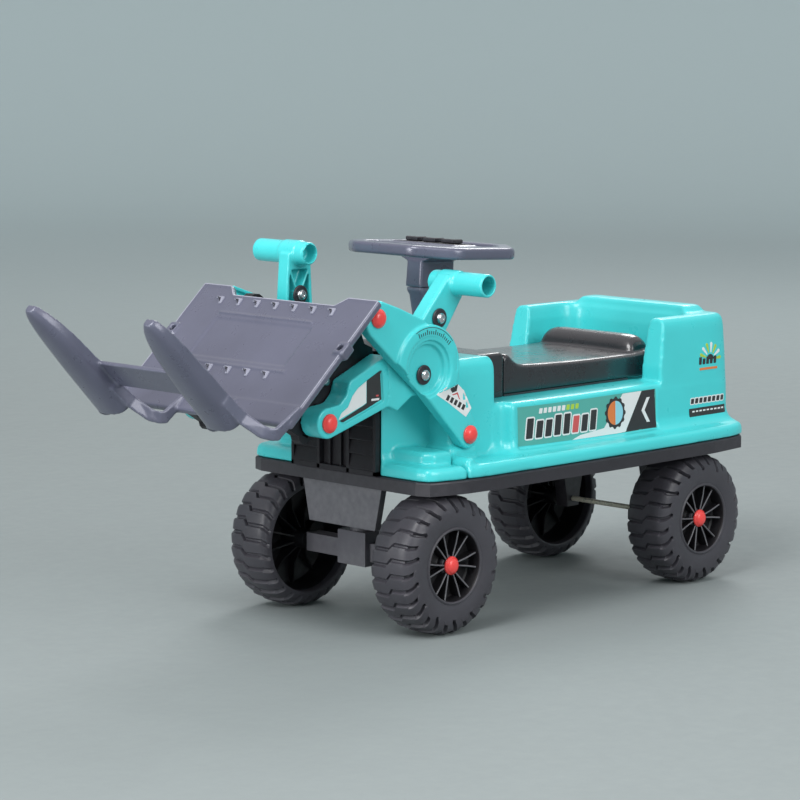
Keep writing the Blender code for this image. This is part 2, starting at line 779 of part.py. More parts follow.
# Wheels: hollow moulded plastic, open on the inner side, with tread lugs.
WHEEL_PROFILE = [
    (0.0830, AXLE_BORE),
    (0.1290, AXLE_BORE),
    (0.1290, 0.0105),
    (0.1225, 0.0120),
    (0.1215, RIM_R),
    (0.1370, RIM_R + 0.0020),
    (WHEEL_OUT, 0.0430),
    (WHEEL_OUT, 0.0640),
    (WHEEL_OUT - 0.0060, WHEEL_R),
    (WHEEL_IN + 0.0060, WHEEL_R),
    (WHEEL_IN, 0.0640),
    (WHEEL_IN, 0.0580),
    (0.1160, 0.0520),
    (0.1180, 0.0130),
    (0.0830, 0.0105),
]


def tread(k, i, r):
    return r - LUG_DEPTH if i in (8, 9) and k % 2 else r


for label, x, s, parent in (
    ("front_left", 0.0, 1, axle_pivot),
    ("front_right", 0.0, -1, axle_pivot),
    ("rear_left", -WHEELBASE, 1, chassis),
    ("rear_right", -WHEELBASE, -1, chassis),
):
    hub = empty("hub_" + label, (x, s * 0.110, WHEEL_R), parent)
    wheel = lathe(
        "wheel", WHEEL_PROFILE, (x, 0, WHEEL_R), (0, s, 0), 2 * WHEEL_LUGS, tread, closed=True
    )
    finish(wheel, "wheel_" + label, CHARCOAL, hub, 40)
    cap = lathe(
        "cap",
        [(0.1318, 0), (0.1318, 0.0100), (0.1340, 0.0098), (0.1370, 0.0068), (0.1382, 0)],
        (x, 0, WHEEL_R),
        (0, s, 0),
        16,
    )
    finish(cap, "hub_cap_" + label, RED, hub, 60)


# Lift arms: a triangular plate with a round boss about the tilt pivot.
def circle(centre, radius, start, end, steps):
    return [
        (
            centre[0] + radius * math.cos(math.radians(start + (end - start) * k / steps)),
            centre[1] + radius * math.sin(math.radians(start + (end - start) * k / steps)),
        )
        for k in range(steps + 1)
    ]


arm_outline = (
    [(0.0905, 0.3600), (0.0640, 0.3508), (0.0300, 0.3370)]
    + [(-0.0100, 0.3120), (-0.0240, 0.2860), (-0.0290, 0.2640), (-0.0400, 0.2420)]
    + circle(PIVOT_REAR, 0.0150, 150, 325, 5)
    + [(0.0260, 0.2570), (0.0740, 0.2970), (0.1060, 0.3250), (0.1120, 0.3340), (0.1060, 0.3460)]
)
arm = plate_y("arm", arm_outline, ARM_Y0, ARM_Y1, 0.0015)
disc = lathe(
    "disc",
    [(0.1100, 0), (0.1100, 0.0465), (DISC_Y - 0.0020, 0.0465), (DISC_Y, 0.0445), (DISC_Y, 0)],
    (DISC[0], 0, DISC[1]),
    (0, 1, 0),
    32,
)
below = [(-0.0600, 0.1840), (0.1400, 0.3540), (0.1400, 0.1000), (-0.0600, 0.1000)]
cut(disc, plate_y("below", below, 0.09, 0.14))
join(arm, disc)
cut(
    arm,
    bore_y(DISC[0] + 0.0012, DISC[1], 0.0250, 0.1125, 0.13, 24),
    bore_y(*PIVOT_TILT, ROD_BORE, 0.09, 0.13),
    bore_y(*PIVOT_REAR, ROD_BORE, 0.09, 0.13),
    bore_y(*PIVOT_FORK, ROD_BORE, 0.09, 0.13),
)
arm_right = mirrored(arm, "right")
finish(arm, "lift_arm_left", TEAL, lift)
finish(arm_right, "lift_arm_right", TEAL, lift)


def pivot_rod(name, at, half, parent):
    rod = cylinder("rod", (at[0], -half, at[1]), (0, 1, 0), 2 * half, ROD_R, 12)
    return finish(rod, name, STEEL, parent)


def pivot_caps(name, at, face, parent):
    for label, s in (("left", 1), ("right", -1)):
        cap = lathe(
            "cap",
            [(face, 0), (face, 0.0095), (face + 0.0025, 0.0098), (face + 0.0055, 0.0070), (face + 0.0068, 0)],
            (at[0], 0, at[1]),
            (0, s, 0),
            16,
        )
        finish(cap, name + "_" + label, RED, parent, 60)


pivot_rod("lift_pivot_rod", PIVOT_REAR, ARM_Y1, chassis)
pivot_caps("lift_pivot_cap", PIVOT_REAR, ARM_Y1 + GAP, chassis)
pivot_rod("fork_pivot_rod", PIVOT_FORK, ARM_Y1, lift)
pivot_caps("fork_pivot_cap", PIVOT_FORK, ARM_Y1 + GAP, lift)
pivot_rod("link_pivot_rod", PIVOT_LINK, LINK_Y1, tilt)
pivot_caps("link_pivot_cap", PIVOT_LINK, LINK_Y1 + GAP, tilt)

# Tilt levers: each runs from the tilt pivot down to the fork bracket.
link_outline = (
    circle(PIVOT_LINK, 0.0160, 95, -105, 7)
    + [(0.0650, 0.2470), (0.0520, 0.2410), (0.0310, 0.2540)]
    + circle(PIVOT_TILT, 0.0225, 250, 110, 4)
    + [(0.0500, 0.3060), (0.0690, 0.3000), (0.1215, 0.2780), (0.1262, 0.2640), (0.1360, 0.2555)]
)
link = plate_y("link", link_outline, LINK_Y0, LINK_Y1, 0.0012)
thick = (
    circle(PIVOT_LINK, 0.0160, 95, -105, 7)
    + [(0.0660, 0.2470), (0.0660, 0.3010), (0.0690, 0.3000), (0.1215, 0.2780), (0.1262, 0.2640), (0.1360, 0.2555)]
)
join(link, plate_y("thick", offset(thick, 0.0002), LINK_BACK, LINK_Y0 + 0.002))
cut(link, bore_y(*PIVOT_TILT, ROD_BORE, 0.06, 0.13), bore_y(*PIVOT_LINK, ROD_BORE, 0.06, 0.13))
link_right = mirrored(link, "right")
finish(link, "tilt_lever_left", TEAL, tilt)
finish(link_right, "tilt_lever_right", TEAL, tilt)


def along(angle, d, side=0.0):
    c, s = math.cos(angle), math.sin(angle)
    return (PIVOT_TILT[0] + d * c - side * s, PIVOT_TILT[1] + d * s + side * c)


def t_handle(name, angle, sign, parent):
    deg = math.degrees(angle)
    outline = circle(PIVOT_TILT, 0.0215, deg + 90, deg + 270, 6) + [
        along(angle, 0.0700, -0.0190),
        along(angle, HANDLE_LENGTH, -0.0160),
        along(angle, HANDLE_LENGTH, 0.0160),
        along(angle, 0.0700, 0.0190),
    ]
    lever = plate_y("lever", outline, HANDLE_Y0, HANDLE_Y1, 0.0020)
    gx, gz = along(angle, HANDLE_LENGTH)
    tube = lathe(
        "tube",
        [(GRIP_Y0, 0), (GRIP_Y0, GRIP_R - 0.003), (GRIP_Y0 + 0.003, GRIP_R), (GRIP_Y1 - 0.001, GRIP_R), (GRIP_Y1, GRIP_R - 0.001), (GRIP_Y1, 0)],
        (gx, 0, gz),
        (0, 1, 0),
        20,
    )
    join(lever, tube)
    cut(
        lever,
        bore_y(gx, gz, GRIP_R - 0.0028, HANDLE_Y1 + 0.004, 0.15, 16),
        bore_y(*PIVOT_TILT, ROD_BORE, 0.05, 0.1),
        bore_y(*along(angle, 0.0705), ROD_BORE, 0.05, 0.1),
    )
    if sign < 0:
        other = mirrored(lever, "right")
        bpy.data.objects.remove(lever, do_unlink=True)
        lever = other
    finish(lever, name, TEAL, parent)


t_handle("tilt_handle_left", HANDLE_ANGLE_L, 1, tilt)
t_handle("lift_handle_right", HANDLE_ANGLE_R, -1, lift)


def bolt(name, at, y_head, y_end, head_r, parent):
    s = 1 if y_head > y_end else -1
    length = abs(y_head - y_end)
    body = lathe(
        "bolt",
        [(0, 0), (0, head_r - 0.0012), (0.0012, head_r), (0.0035, head_r), (0.0035, ROD_R), (length, ROD_R), (length, 0)],
        (at[0], y_head, at[1]),
        (0, -s, 0),
        12,
    )
    finish(body, name, STEEL, parent)


def washer(name, at, y0, y1, parent):
    body = lathe(
        "washer",
        tube_profile(min(y0, y1), max(y0, y1), ROD_BORE, 0.0105),
        (at[0], 0, at[1]),
        (0, 1, 0),
        16,
        closed=True,
    )
    finish(body, name, BLACK, parent)


for label, s in (("left", 1), ("right", -1)):
    washer("tilt_washer_" + label, PIVOT_TILT, s * 0.1128, s * 0.1148, lift)
    bolt("tilt_bolt_" + label, PIVOT_TILT, s * 0.1186, s * HANDLE_Y0, 0.0058, lift)
grip_l, grip_r = along(HANDLE_ANGLE_L, 0.0705), along(HANDLE_ANGLE_R, 0.0705)
washer("handle_washer_left", grip_l, HANDLE_Y1 + GAP, HANDLE_Y1 + 0.0023, tilt)
bolt("handle_bolt_left", grip_l, HANDLE_Y1 + 0.0061, HANDLE_Y0, 0.0058, tilt)
washer("handle_washer_right", grip_r, -HANDLE_Y0 + GAP, -HANDLE_Y0 + 0.0023, lift)
bolt("handle_bolt_right", grip_r, -HANDLE_Y0 + 0.0061, -HANDLE_Y1, 0.0058, lift)

# Fork: a tilted panel, a floor strip and two prongs, moulded as one.
pd = Vector((math.cos(FORK_SLOPE), math.sin(FORK_SLOPE)))
pn = Vector((-pd.y, pd.x))  # forwards, off the panel's face
vd = Vector((math.cos(PRONG_SLOPE), math.sin(PRONG_SLOPE)))
vn = Vector((vd.y, -vd.x))  # under the prongs
HEEL = Vector(FORK_TOP) + pd * FORK_LENGTH


def on_panel(u, y, out=0.0):
    p = Vector(FORK_TOP) + pd * u + pn * out
    return (p.x, y, p.y)


def on_prong(v, y, under=0.0):
    p = HEEL + vd * v + vn * under
    return (p.x, y, p.y)


def panel_plate(name, outline, out0, out1):
    return loft(name, [[on_panel(u, y, o) for u, y in outline] for o in (out0, out1)])


panel_outline = [
    (0.0, -FORK_W),
    (0.0, -0.0880),
    (0.0120, -0.0760),
    (0.0120, 0.0760),
    (0.0, 0.0880),
    (0.0, FORK_W),
    (PANEL_END, FORK_W),
    (PANEL_END, -FORK_W),
]
fork = panel_plate("panel", panel_outline, -FORK_T, 0.0)


def prong_section(v, mid, half, wall, depth, bed, s):
    """A trough: side walls up by wall, its bed, and a half-round underside down by depth."""
    t = min(PRONG_WALL, 0.45 * half)
    points = [on_prong(v, s * (mid + half), -wall)]
    for k in range(0, 9):
        a = math.pi * k / 8
        points.append(on_prong(v, s * (mid + half * math.cos(a)), depth * math.sin(a)))
    points += [
        on_prong(v, s * (mid - half), -wall),
        on_prong(v, s * (mid - half + t), -wall),
        on_prong(v, s * (mid - half + t), bed),
        on_prong(v, s * (mid + half - t), bed),
        on_prong(v, s * (mid + half - t), -wall),
    ]
    return points


join(
    fork,
    loft(
        "strip",
        [
            [on_prong(v, y, d) for v, y in ((0.0570, -0.0640), (0.0570, 0.0640), (0.0905, 0.0640), (0.0905, -0.0640))]
            for d in (-0.0110, -0.0065)
        ],
    ),
)
for s in (1, -1):
    stations = [
        (0.0300, 0.0840, 0.0240, 0.0120, 0.0125, 0.0),
        (0.0900, 0.0845, 0.0240, 0.0118, 0.0125, 0.0),
        (0.1300, 0.0855, 0.0235, 0.0105, 0.0120, 0.0),
        (0.1500, 0.0870, 0.0215, 0.0090, 0.0105, -0.0010),
        (0.1650, 0.0885, 0.0170, 0.0070, 0.0085, -0.0040),
        (0.1740, 0.0900, 0.0110, 0.0055, 0.0065, -0.0050),
        (PRONG_LENGTH, 0.0905, 0.0060, 0.0040, 0.0045, -0.0037),
    ]
    join(fork, loft("prong", [prong_section(*st, s) for st in stations]))
    for e in (1, -1):
        line = [
            (on_prong(0.0620, 0, 0.0030), on_prong(0.0620, 0, -0.0100), 0.0222),
            (on_prong(0.0340, 0, 0.0030), on_prong(0.0340, 0, -0.0110), 0.0270),
            (on_prong(0.0110, 0, 0.0005), on_prong(0.0170, 0, -0.0120), 0.0380),
            (on_prong(0.0010, 0, -0.0050), on_prong(0.0110, 0, -0.0140), 0.0430),
            (on_panel(0.1900, 0, -0.0040), on_panel(0.1830, 0, 0.0080), 0.0450),
            (on_panel(0.1500, 0, -0.0070), on_panel(0.1500, 0, 0.0020), 0.0460),
        ]
        sections = []
        for low_point, high_point, aside in line:
            y = PRONG_MID + e * aside
            (x0, _, z0), (x1, _, z1) = low_point, high_point
            sections.append(
                [
                    (x0, s * (y - 0.0020), z0),
                    (x0, s * (y + 0.0020), z0),
                    (x1, s * (y + 0.0020), z1),
                    (x1, s * (y - 0.0020), z1),
                ]
            )
        join(fork, loft("web", sections))
finish(fork, "fork", GREY, fork_pivot)

# Fork brackets: black plates behind the panel with a slot for the link rod.
slot_dir = (Vector(PIVOT_LINK) - Vector(PIVOT_FORK)).normalized()
low = Vector(PIVOT_LINK) + slot_dir * 0.0165


def behind(u, d):
    p = Vector(FORK_TOP) + pd * u - pn * d
    return (p.x, p.y)


bracket_outline = (
    circle(PIVOT_FORK, 0.0125, 205, 75, 4)
    + [behind(0.0120, FORK_T + GAP), behind(0.1480, FORK_T + GAP), behind(0.1480, 0.0300)]
    + circle(tuple(low), 0.0090, 0, -130, 4)
    + [(0.1340, 0.2290), (0.0620, 0.2960), (0.0620, 0.3060), (0.0740, 0.3110)]
)
plate = plate_y("plate", bracket_outline, BRACKET_Y0, BRACKET_Y1, 0.0)
slot_side = Vector((-slot_dir.y, slot_dir.x)) * 0.0040
slot_a = Vector(PIVOT_LINK) - slot_dir * 0.0175
slot_b = Vector(PIVOT_LINK) + slot_dir * 0.0175
cut(
    plate,
    bore_y(*PIVOT_FORK, ROD_BORE, 0.05, 0.1),
    loft(
        "slot",
        [
            [(p.x, y, p.y) for p in (slot_a - slot_side, slot_b - slot_side, slot_b + slot_side, slot_a + slot_side)]
            for y in (0.05, 0.10)
        ],
    ),
)
plate_right = mirrored(plate, "right")
finish(plate, "fork_bracket_left", BLACK, fork_pivot)
finish(plate_right, "fork_bracket_right", BLACK, fork_pivot)
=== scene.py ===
"""Looks for the ride-on loader: refined mouldings, materials, floor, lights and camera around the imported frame."""

import math

import bmesh
import bpy
import numpy as np
from mathutils import Matrix, Vector
from mathutils.bvhtree import BVHTree


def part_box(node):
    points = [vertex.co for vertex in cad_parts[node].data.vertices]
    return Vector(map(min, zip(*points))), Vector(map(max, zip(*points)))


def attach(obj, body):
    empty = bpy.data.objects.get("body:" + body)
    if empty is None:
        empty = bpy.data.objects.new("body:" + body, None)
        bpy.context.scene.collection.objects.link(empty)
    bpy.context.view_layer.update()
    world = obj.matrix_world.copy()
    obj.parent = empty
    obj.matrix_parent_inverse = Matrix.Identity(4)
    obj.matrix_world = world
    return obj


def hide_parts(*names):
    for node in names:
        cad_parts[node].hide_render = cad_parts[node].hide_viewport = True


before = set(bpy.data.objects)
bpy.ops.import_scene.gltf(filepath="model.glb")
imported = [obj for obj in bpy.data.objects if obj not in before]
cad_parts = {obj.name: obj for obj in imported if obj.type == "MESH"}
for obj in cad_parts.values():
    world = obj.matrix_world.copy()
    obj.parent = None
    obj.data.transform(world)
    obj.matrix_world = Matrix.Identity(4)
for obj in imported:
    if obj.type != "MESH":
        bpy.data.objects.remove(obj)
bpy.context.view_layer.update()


_low, _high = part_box("front_axle_rod")
OX = (_low.x + _high.x) / 2  # world x of the front axle
AXLE_Z = (_low.z + _high.z) / 2
_low, _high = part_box("rear_axle_rod")
REAR_X = (_low.x + _high.x) / 2 - OX


# ------------------------------------------------------------------ materials
def surface(
    name,
    colour,
    rough,
    vary=0.05,
    rough_vary=0.08,
    grain=0.10,
    grain_scale=1100.0,
    wave=0.06,
    wave_scale=38.0,
    coat=0.0,
    coat_rough=0.12,
    metallic=0.0,
    edge_wear_and_highlight=0.0,
    edge_wear_and_highlight_colour=(0.6, 0.6, 0.6),
    specular=0.5,
    sheen=0.0,
    painted_top_sheen=0.0,
    subsurface=0.0,
):
    """A moulded or machined surface: cloudy colour, uneven gloss, fine grain and slight mould waviness, with convex
    edges lightened as part wear and part painted highlight, and an optional painted sheen on upward faces.
    """
    mat = bpy.data.materials.new(name)
    mat.use_nodes = True
    nodes, links = mat.node_tree.nodes, mat.node_tree.links
    shader = nodes["Principled BSDF"]
    shader.inputs["Metallic"].default_value = metallic
    shader.inputs["Specular IOR Level"].default_value = specular
    shader.inputs["Coat Weight"].default_value = coat
    shader.inputs["Coat Roughness"].default_value = coat_rough
    if sheen:
        shader.inputs["Sheen Weight"].default_value = sheen
        shader.inputs["Sheen Roughness"].default_value = 0.5
    coords = nodes.new("ShaderNodeTexCoord")
    cloud = nodes.new("ShaderNodeTexNoise")
    cloud.inputs["Scale"].default_value = 16.0
    cloud.inputs["Detail"].default_value = 4.0
    links.new(coords.outputs["Object"], cloud.inputs["Vector"])
    ramp = nodes.new("ShaderNodeValToRGB")
    ramp.color_ramp.elements[0].position = 0.30
    ramp.color_ramp.elements[1].position = 0.72
    ramp.color_ramp.elements[0].color = (*[c * (1 - vary) for c in colour], 1)
    ramp.color_ramp.elements[1].color = (*[min(1.0, c * (1 + vary)) for c in colour], 1)
    links.new(cloud.outputs["Fac"], ramp.inputs["Fac"])
    last = ramp.outputs["Color"]
    # Convex edges (pointiness) lightened in patchy noise: partly wear, partly painted edge highlight.
    if edge_wear_and_highlight:
        geometry = nodes.new("ShaderNodeNewGeometry")
        edge = nodes.new("ShaderNodeMapRange")
        edge.inputs["From Min"].default_value = 0.52
        edge.inputs["From Max"].default_value = 0.62
        edge.inputs["To Max"].default_value = edge_wear_and_highlight
        links.new(geometry.outputs["Pointiness"], edge.inputs["Value"])
        scuff = nodes.new("ShaderNodeTexNoise")
        scuff.inputs["Scale"].default_value = 140.0
        scuff.inputs["Detail"].default_value = 5.0
        links.new(coords.outputs["Object"], scuff.inputs["Vector"])
        spots = nodes.new("ShaderNodeMath")
        spots.operation = "MULTIPLY"
        links.new(edge.outputs["Result"], spots.inputs[0])
        links.new(scuff.outputs["Fac"], spots.inputs[1])
        worn_and_lit = nodes.new("ShaderNodeMix")
        worn_and_lit.data_type = "RGBA"
        worn_and_lit.inputs["B"].default_value = (*edge_wear_and_highlight_colour, 1)
        links.new(spots.outputs["Value"], worn_and_lit.inputs["Factor"])
        links.new(last, worn_and_lit.inputs["A"])
        last = worn_and_lit.outputs["Result"]
    if painted_top_sheen:
        # Painted sheen: upward faces mixed toward pale grey, standing in for the overhead light they reflect.
        geometry = nodes.new("ShaderNodeNewGeometry")
        split = nodes.new("ShaderNodeSeparateXYZ")
        links.new(geometry.outputs["Normal"], split.inputs["Vector"])
        up = nodes.new("ShaderNodeMapRange")
        up.inputs["From Min"].default_value = 0.3
        up.inputs["From Max"].default_value = 1.0
        up.inputs["To Max"].default_value = painted_top_sheen
        links.new(split.outputs["Z"], up.inputs["Value"])
        top_sheen_mix = nodes.new("ShaderNodeMix")
        top_sheen_mix.data_type = "RGBA"
        top_sheen_mix.inputs["B"].default_value = (0.34, 0.34, 0.35, 1)
        links.new(up.outputs["Result"], top_sheen_mix.inputs["Factor"])
        links.new(last, top_sheen_mix.inputs["A"])
        last = top_sheen_mix.outputs["Result"]
    links.new(last, shader.inputs["Base Color"])
    patch = nodes.new("ShaderNodeTexNoise")
    patch.inputs["Scale"].default_value = 55.0
    patch.inputs["Detail"].default_value = 6.0
    patch.inputs["Roughness"].default_value = 0.65
    links.new(coords.outputs["Object"], patch.inputs["Vector"])
    gloss = nodes.new("ShaderNodeMapRange")
    gloss.inputs["From Min"].default_value = 0.3
    gloss.inputs["From Max"].default_value = 0.7
    gloss.inputs["To Min"].default_value = max(0.02, rough - rough_vary)
    gloss.inputs["To Max"].default_value = min(1.0, rough + rough_vary)
    links.new(patch.outputs["Fac"], gloss.inputs["Value"])
    links.new(gloss.outputs["Result"], shader.inputs["Roughness"])
    fine = nodes.new("ShaderNodeTexNoise")
    fine.inputs["Scale"].default_value = grain_scale
    fine.inputs["Detail"].default_value = 2.0
    links.new(coords.outputs["Object"], fine.inputs["Vector"])
    wavy = nodes.new("ShaderNodeTexNoise")
    wavy.inputs["Scale"].default_value = wave_scale
    wavy.inputs["Detail"].default_value = 1.0
    links.new(coords.outputs["Object"], wavy.inputs["Vector"])
    low_bump = nodes.new("ShaderNodeBump")
    low_bump.inputs["Strength"].default_value = wave
    low_bump.inputs["Distance"].default_value = 0.004
    links.new(wavy.outputs["Fac"], low_bump.inputs["Height"])
    bump = nodes.new("ShaderNodeBump")
    bump.inputs["Strength"].default_value = grain
    bump.inputs["Distance"].default_value = 0.0003
    links.new(fine.outputs["Fac"], bump.inputs["Height"])
    links.new(low_bump.outputs["Normal"], bump.inputs["Normal"])
    links.new(bump.outputs["Normal"], shader.inputs["Normal"])
    return mat


# Each finish below lightens its convex edges by its wear setting: partly wear, partly painted edge highlight.
TEAL = surface(
    "teal_moulded", (0.062, 0.640, 0.660), 0.33, vary=0.035, coat=0.25, coat_rough=0.15,
    edge_wear_and_highlight=0.25, edge_wear_and_highlight_colour=(0.35, 0.85, 0.86),
)
GREY = surface(
    "violet_grey_pearl", (0.112, 0.116, 0.168), 0.32, vary=0.08, grain=0.22, grain_scale=1500.0,
    coat=0.35, coat_rough=0.18, edge_wear_and_highlight=0.80, edge_wear_and_highlight_colour=(0.50, 0.51, 0.60), metallic=0.15,
)
# A lighter violet grey for the fork's edge bead and dash marks: painted highlight on their raised edges.
HIGHLIGHT_GREY = surface(
    "violet_grey_painted_highlight", (0.270, 0.275, 0.350), 0.36, vary=0.08, grain=0.2, coat=0.3, coat_rough=0.2,
    edge_wear_and_highlight=0.5, edge_wear_and_highlight_colour=(0.6, 0.6, 0.68),
)
BLACK = surface(
    "black_gloss", (0.017, 0.015, 0.020), 0.22, vary=0.12, coat=0.45, coat_rough=0.10,
    edge_wear_and_highlight=0.20, edge_wear_and_highlight_colour=(0.16, 0.15, 0.17), grain=0.05,
)
SATIN = surface(
    "black_satin", (0.021, 0.019, 0.025), 0.40, vary=0.15, grain=0.16,
    edge_wear_and_highlight=0.35, edge_wear_and_highlight_colour=(0.16, 0.15, 0.17),
)
# The seat's upward faces get a painted sheen: pale grey mixed in where reflected overhead light would show.
SEAT = surface(
    "black_seat", (0.013, 0.012, 0.016), 0.30, vary=0.15, grain=0.30, grain_scale=900.0, painted_top_sheen=0.12, specular=0.6,
    coat=0.5, coat_rough=0.14,
    edge_wear_and_highlight=0.25, edge_wear_and_highlight_colour=(0.20, 0.19, 0.22),
)
COAL = surface("black_louvre", (0.0075, 0.0065, 0.0095), 0.46, vary=0.2, grain=0.25, edge_wear_and_highlight=0.25, edge_wear_and_highlight_colour=(0.07, 0.065, 0.075), specular=0.30)
DARK = surface("black_deep", (0.0065, 0.0060, 0.0080), 0.50, vary=0.15, grain=0.2)
TYRE = surface(
    "charcoal_tyre", (0.056, 0.053, 0.064), 0.42, vary=0.12, rough_vary=0.10, grain=0.30,
    grain_scale=800.0, edge_wear_and_highlight=0.45, edge_wear_and_highlight_colour=(0.17, 0.17, 0.18), specular=0.45,
)
RIM = surface("charcoal_rim", (0.090, 0.086, 0.102), 0.36, vary=0.10, grain=0.2, edge_wear_and_highlight=0.3)
MID = surface("mid_grey_moulded", (0.092, 0.088, 0.106), 0.42, vary=0.08, grain=0.2, edge_wear_and_highlight=0.2)
RED = surface(
    "red_cap", (0.920, 0.066, 0.060), 0.32, vary=0.08, coat=0.3, coat_rough=0.12,
    edge_wear_and_highlight=0.3, edge_wear_and_highlight_colour=(0.85, 0.25, 0.22), grain=0.12,
)
STEEL = surface(
    "zinc_plate", (0.62, 0.62, 0.64), 0.26, vary=0.06, metallic=1.0, grain=0.25, grain_scale=500.0,
    edge_wear_and_highlight=0.0,
)
ROD = surface("zinc_yellow_rod", (0.82, 0.76, 0.62), 0.30, vary=0.10, metallic=0.25, grain=0.2, grain_scale=400.0)
WHITE_INK = surface("sticker_white", (0.80, 0.81, 0.81), 0.38, vary=0.02, grain=0.04, coat=0.3)
BLACK_INK = surface("sticker_black", (0.022, 0.022, 0.024), 0.36, vary=0.10, grain=0.04, coat=0.3)
TEAL_INK = surface("sticker_teal", (0.085, 0.400, 0.350), 0.40, vary=0.06, grain=0.04, coat=0.3)
ORANGE_INK = surface("sticker_orange", (0.75, 0.20, 0.05), 0.38, vary=0.05, grain=0.04, coat=0.3)
SKY_INK = surface("sticker_sky", (0.28, 0.66, 0.78), 0.38, vary=0.05, grain=0.04, coat=0.3)
LIME_INK = surface("sticker_lime", (0.42, 0.62, 0.06), 0.38, vary=0.05, grain=0.04, coat=0.3)
RED_INK = surface("sticker_red", (0.62, 0.09, 0.09), 0.38, vary=0.05, grain=0.04, coat=0.3)

BODY_MATERIALS = {
    "teal_plastic": TEAL,
    "violet_grey_plastic": GREY,
    "black_plastic": BLACK,
    "charcoal_plastic": TYRE,
    "mid_grey_plastic": MID,
    "red_plastic": RED,
    "zinc_steel": STEEL,
}

# ------------------------------------------------------------------- helpers
HOLDER = bpy.context.scene.collection


def mesh_object(name, bm, recalc=True):
    if recalc:
        bmesh.ops.recalc_face_normals(bm, faces=bm.faces)
    mesh = bpy.data.meshes.new(name)
    bm.to_mesh(mesh)
    bm.free()
    obj = bpy.data.objects.new(name, mesh)
    HOLDER.objects.link(obj)
    return obj


def loft(name, sections, closed=False):
    bm = bmesh.new()
    rings = [[bm.verts.new(p) for p in section] for section in sections]
    n = len(rings[0])
    pairs = list(zip(rings, rings[1:]))
    if closed:
        pairs.append((rings[-1], rings[0]))
    for a, b in pairs:
        for i in range(n):
            bm.faces.new((a[i], a[(i + 1) % n], b[(i + 1) % n], b[i]))
    if not closed:
        bm.faces.new(rings[0])
        bm.faces.new(rings[-1][::-1])
    return mesh_object(name, bm)


def offset(points, d):
    n = len(points)
    area = sum(
        points[i][0] * points[(i + 1) % n][1] - points[(i + 1) % n][0] * points[i][1]
        for i in range(n)
    )
    turn = 1 if area > 0 else -1
    out = []
    for i in range(n):
        p, a, b = Vector(points[i]), Vector(points[i - 1]), Vector(points[(i + 1) % n])
        u, v = (p - a).normalized(), (b - p).normalized()
        nu, nv = Vector((-u.y, u.x)) * turn, Vector((-v.y, v.x)) * turn
        m = (nu + nv).normalized()
        out.append(tuple(p + m * d / max(0.35, m.dot(nu))))
    return out


def fillet(points, radius, steps=6):
    n = len(points)
    radii = radius if isinstance(radius, (list, tuple)) else [radius] * n
    out = []
    for i in range(n):
        p, a, b = Vector(points[i]), Vector(points[i - 1]), Vector(points[(i + 1) % n])
        r = radii[i]
        u, v = (a - p), (b - p)
        lu, lv = u.length, v.length
        u.normalize()
        v.normalize()
        half = math.acos(max(-1.0, min(1.0, u.dot(v)))) / 2
        if r <= 0 or half > 1.5:
            out.append(tuple(p))
            continue
        back = min(r / math.tan(half), 0.48 * lu, 0.48 * lv)
        p0, p1 = p + u * back, p + v * back
        for k in range(steps + 1):
            t = k / steps
            out.append(tuple((1 - t) ** 2 * p0 + 2 * t * (1 - t) * p + t * t * p1))
    return out


def spline(points, per=5):
    """A smooth open curve through the points."""
    pts = [Vector(p) for p in points]
    pts = [2 * pts[0] - pts[1]] + pts + [2 * pts[-1] - pts[-2]]
    out = []
    for i in range(1, len(pts) - 2):
        p0, p1, p2, p3 = pts[i - 1 : i + 3]
        for k in range(per):
            t = k / per
            out.append(
                tuple(
                    0.5
                    * (
                        2 * p1
                        + (p2 - p0) * t
                        + (2 * p0 - 5 * p1 + 4 * p2 - p3) * t * t
                        + (3 * p1 - p0 - 3 * p2 + p3) * t * t * t
                    )
                )
            )
    out.append(tuple(pts[-2]))
    return out


def round_edge(z0, z1, edge, steps=4):
    """Levels (z, inset) of a prism whose z1 edge is a quarter round."""
    s = 1 if z1 > z0 else -1
    levels = [(z0, 0.0)]
    for k in range(steps + 1):
        a = math.pi / 2 * k / steps
        levels.append((z1 - s * edge * (1 - math.sin(a)), edge * (1 - math.cos(a))))
    return levels


def stepped(name, outline, levels):
    return loft(name, [[(x, y, z) for x, y in offset(outline, d)] for z, d in levels])


def prism_z(name, outline, z0, z1, edge=0.0):
    return stepped(name, outline, round_edge(z0, z1, edge) if edge else [(z0, 0), (z1, 0)])


def plate_y(name, outline, y0, y1, edge=0.0):
    levels = round_edge(y0, y1, edge) if edge else [(y0, 0), (y1, 0)]
    return loft(name, [[(x, y, z) for x, z in offset(outline, d)] for y, d in levels])


def box(name, low, high):
    (x0, y0, z0), (x1, y1, z1) = low, high
    return loft(name, [[(x0, y0, z), (x1, y0, z), (x1, y1, z), (x0, y1, z)] for z in (z0, z1)])


def lathe(name, profile, base, direction, steps=40, closed=False):
    axis = Vector(direction).normalized()
    side = axis.orthogonal().normalized()
    if abs(axis.y) > 0.99:
        side = Vector((0, 0, -1))
    other = axis.cross(side)
    bm = bmesh.new()
    rings = []
    for h, r in profile:
        centre = Vector(base) + axis * h
        if r == 0:
            rings.append([bm.verts.new(centre)])
            continue
        rings.append(
            [
                bm.verts.new(
                    centre
                    + (side * math.cos(2 * math.pi * k / steps) + other * math.sin(2 * math.pi * k / steps)) * r
                )
                for k in range(steps)
            ]
        )
    pairs = list(zip(rings, rings[1:]))
    if closed:
        pairs.append((rings[-1], rings[0]))
    for a, b in pairs:
        for k in range(steps):
            j = (k + 1) % steps
            if len(a) == 1:
                bm.faces.new((a[0], b[j], b[k]))
            elif len(b) == 1:
                bm.faces.new((a[k], a[j], b[0]))
            else:
                bm.faces.new((a[k], a[j], b[j], b[k]))
    return mesh_object(name, bm)


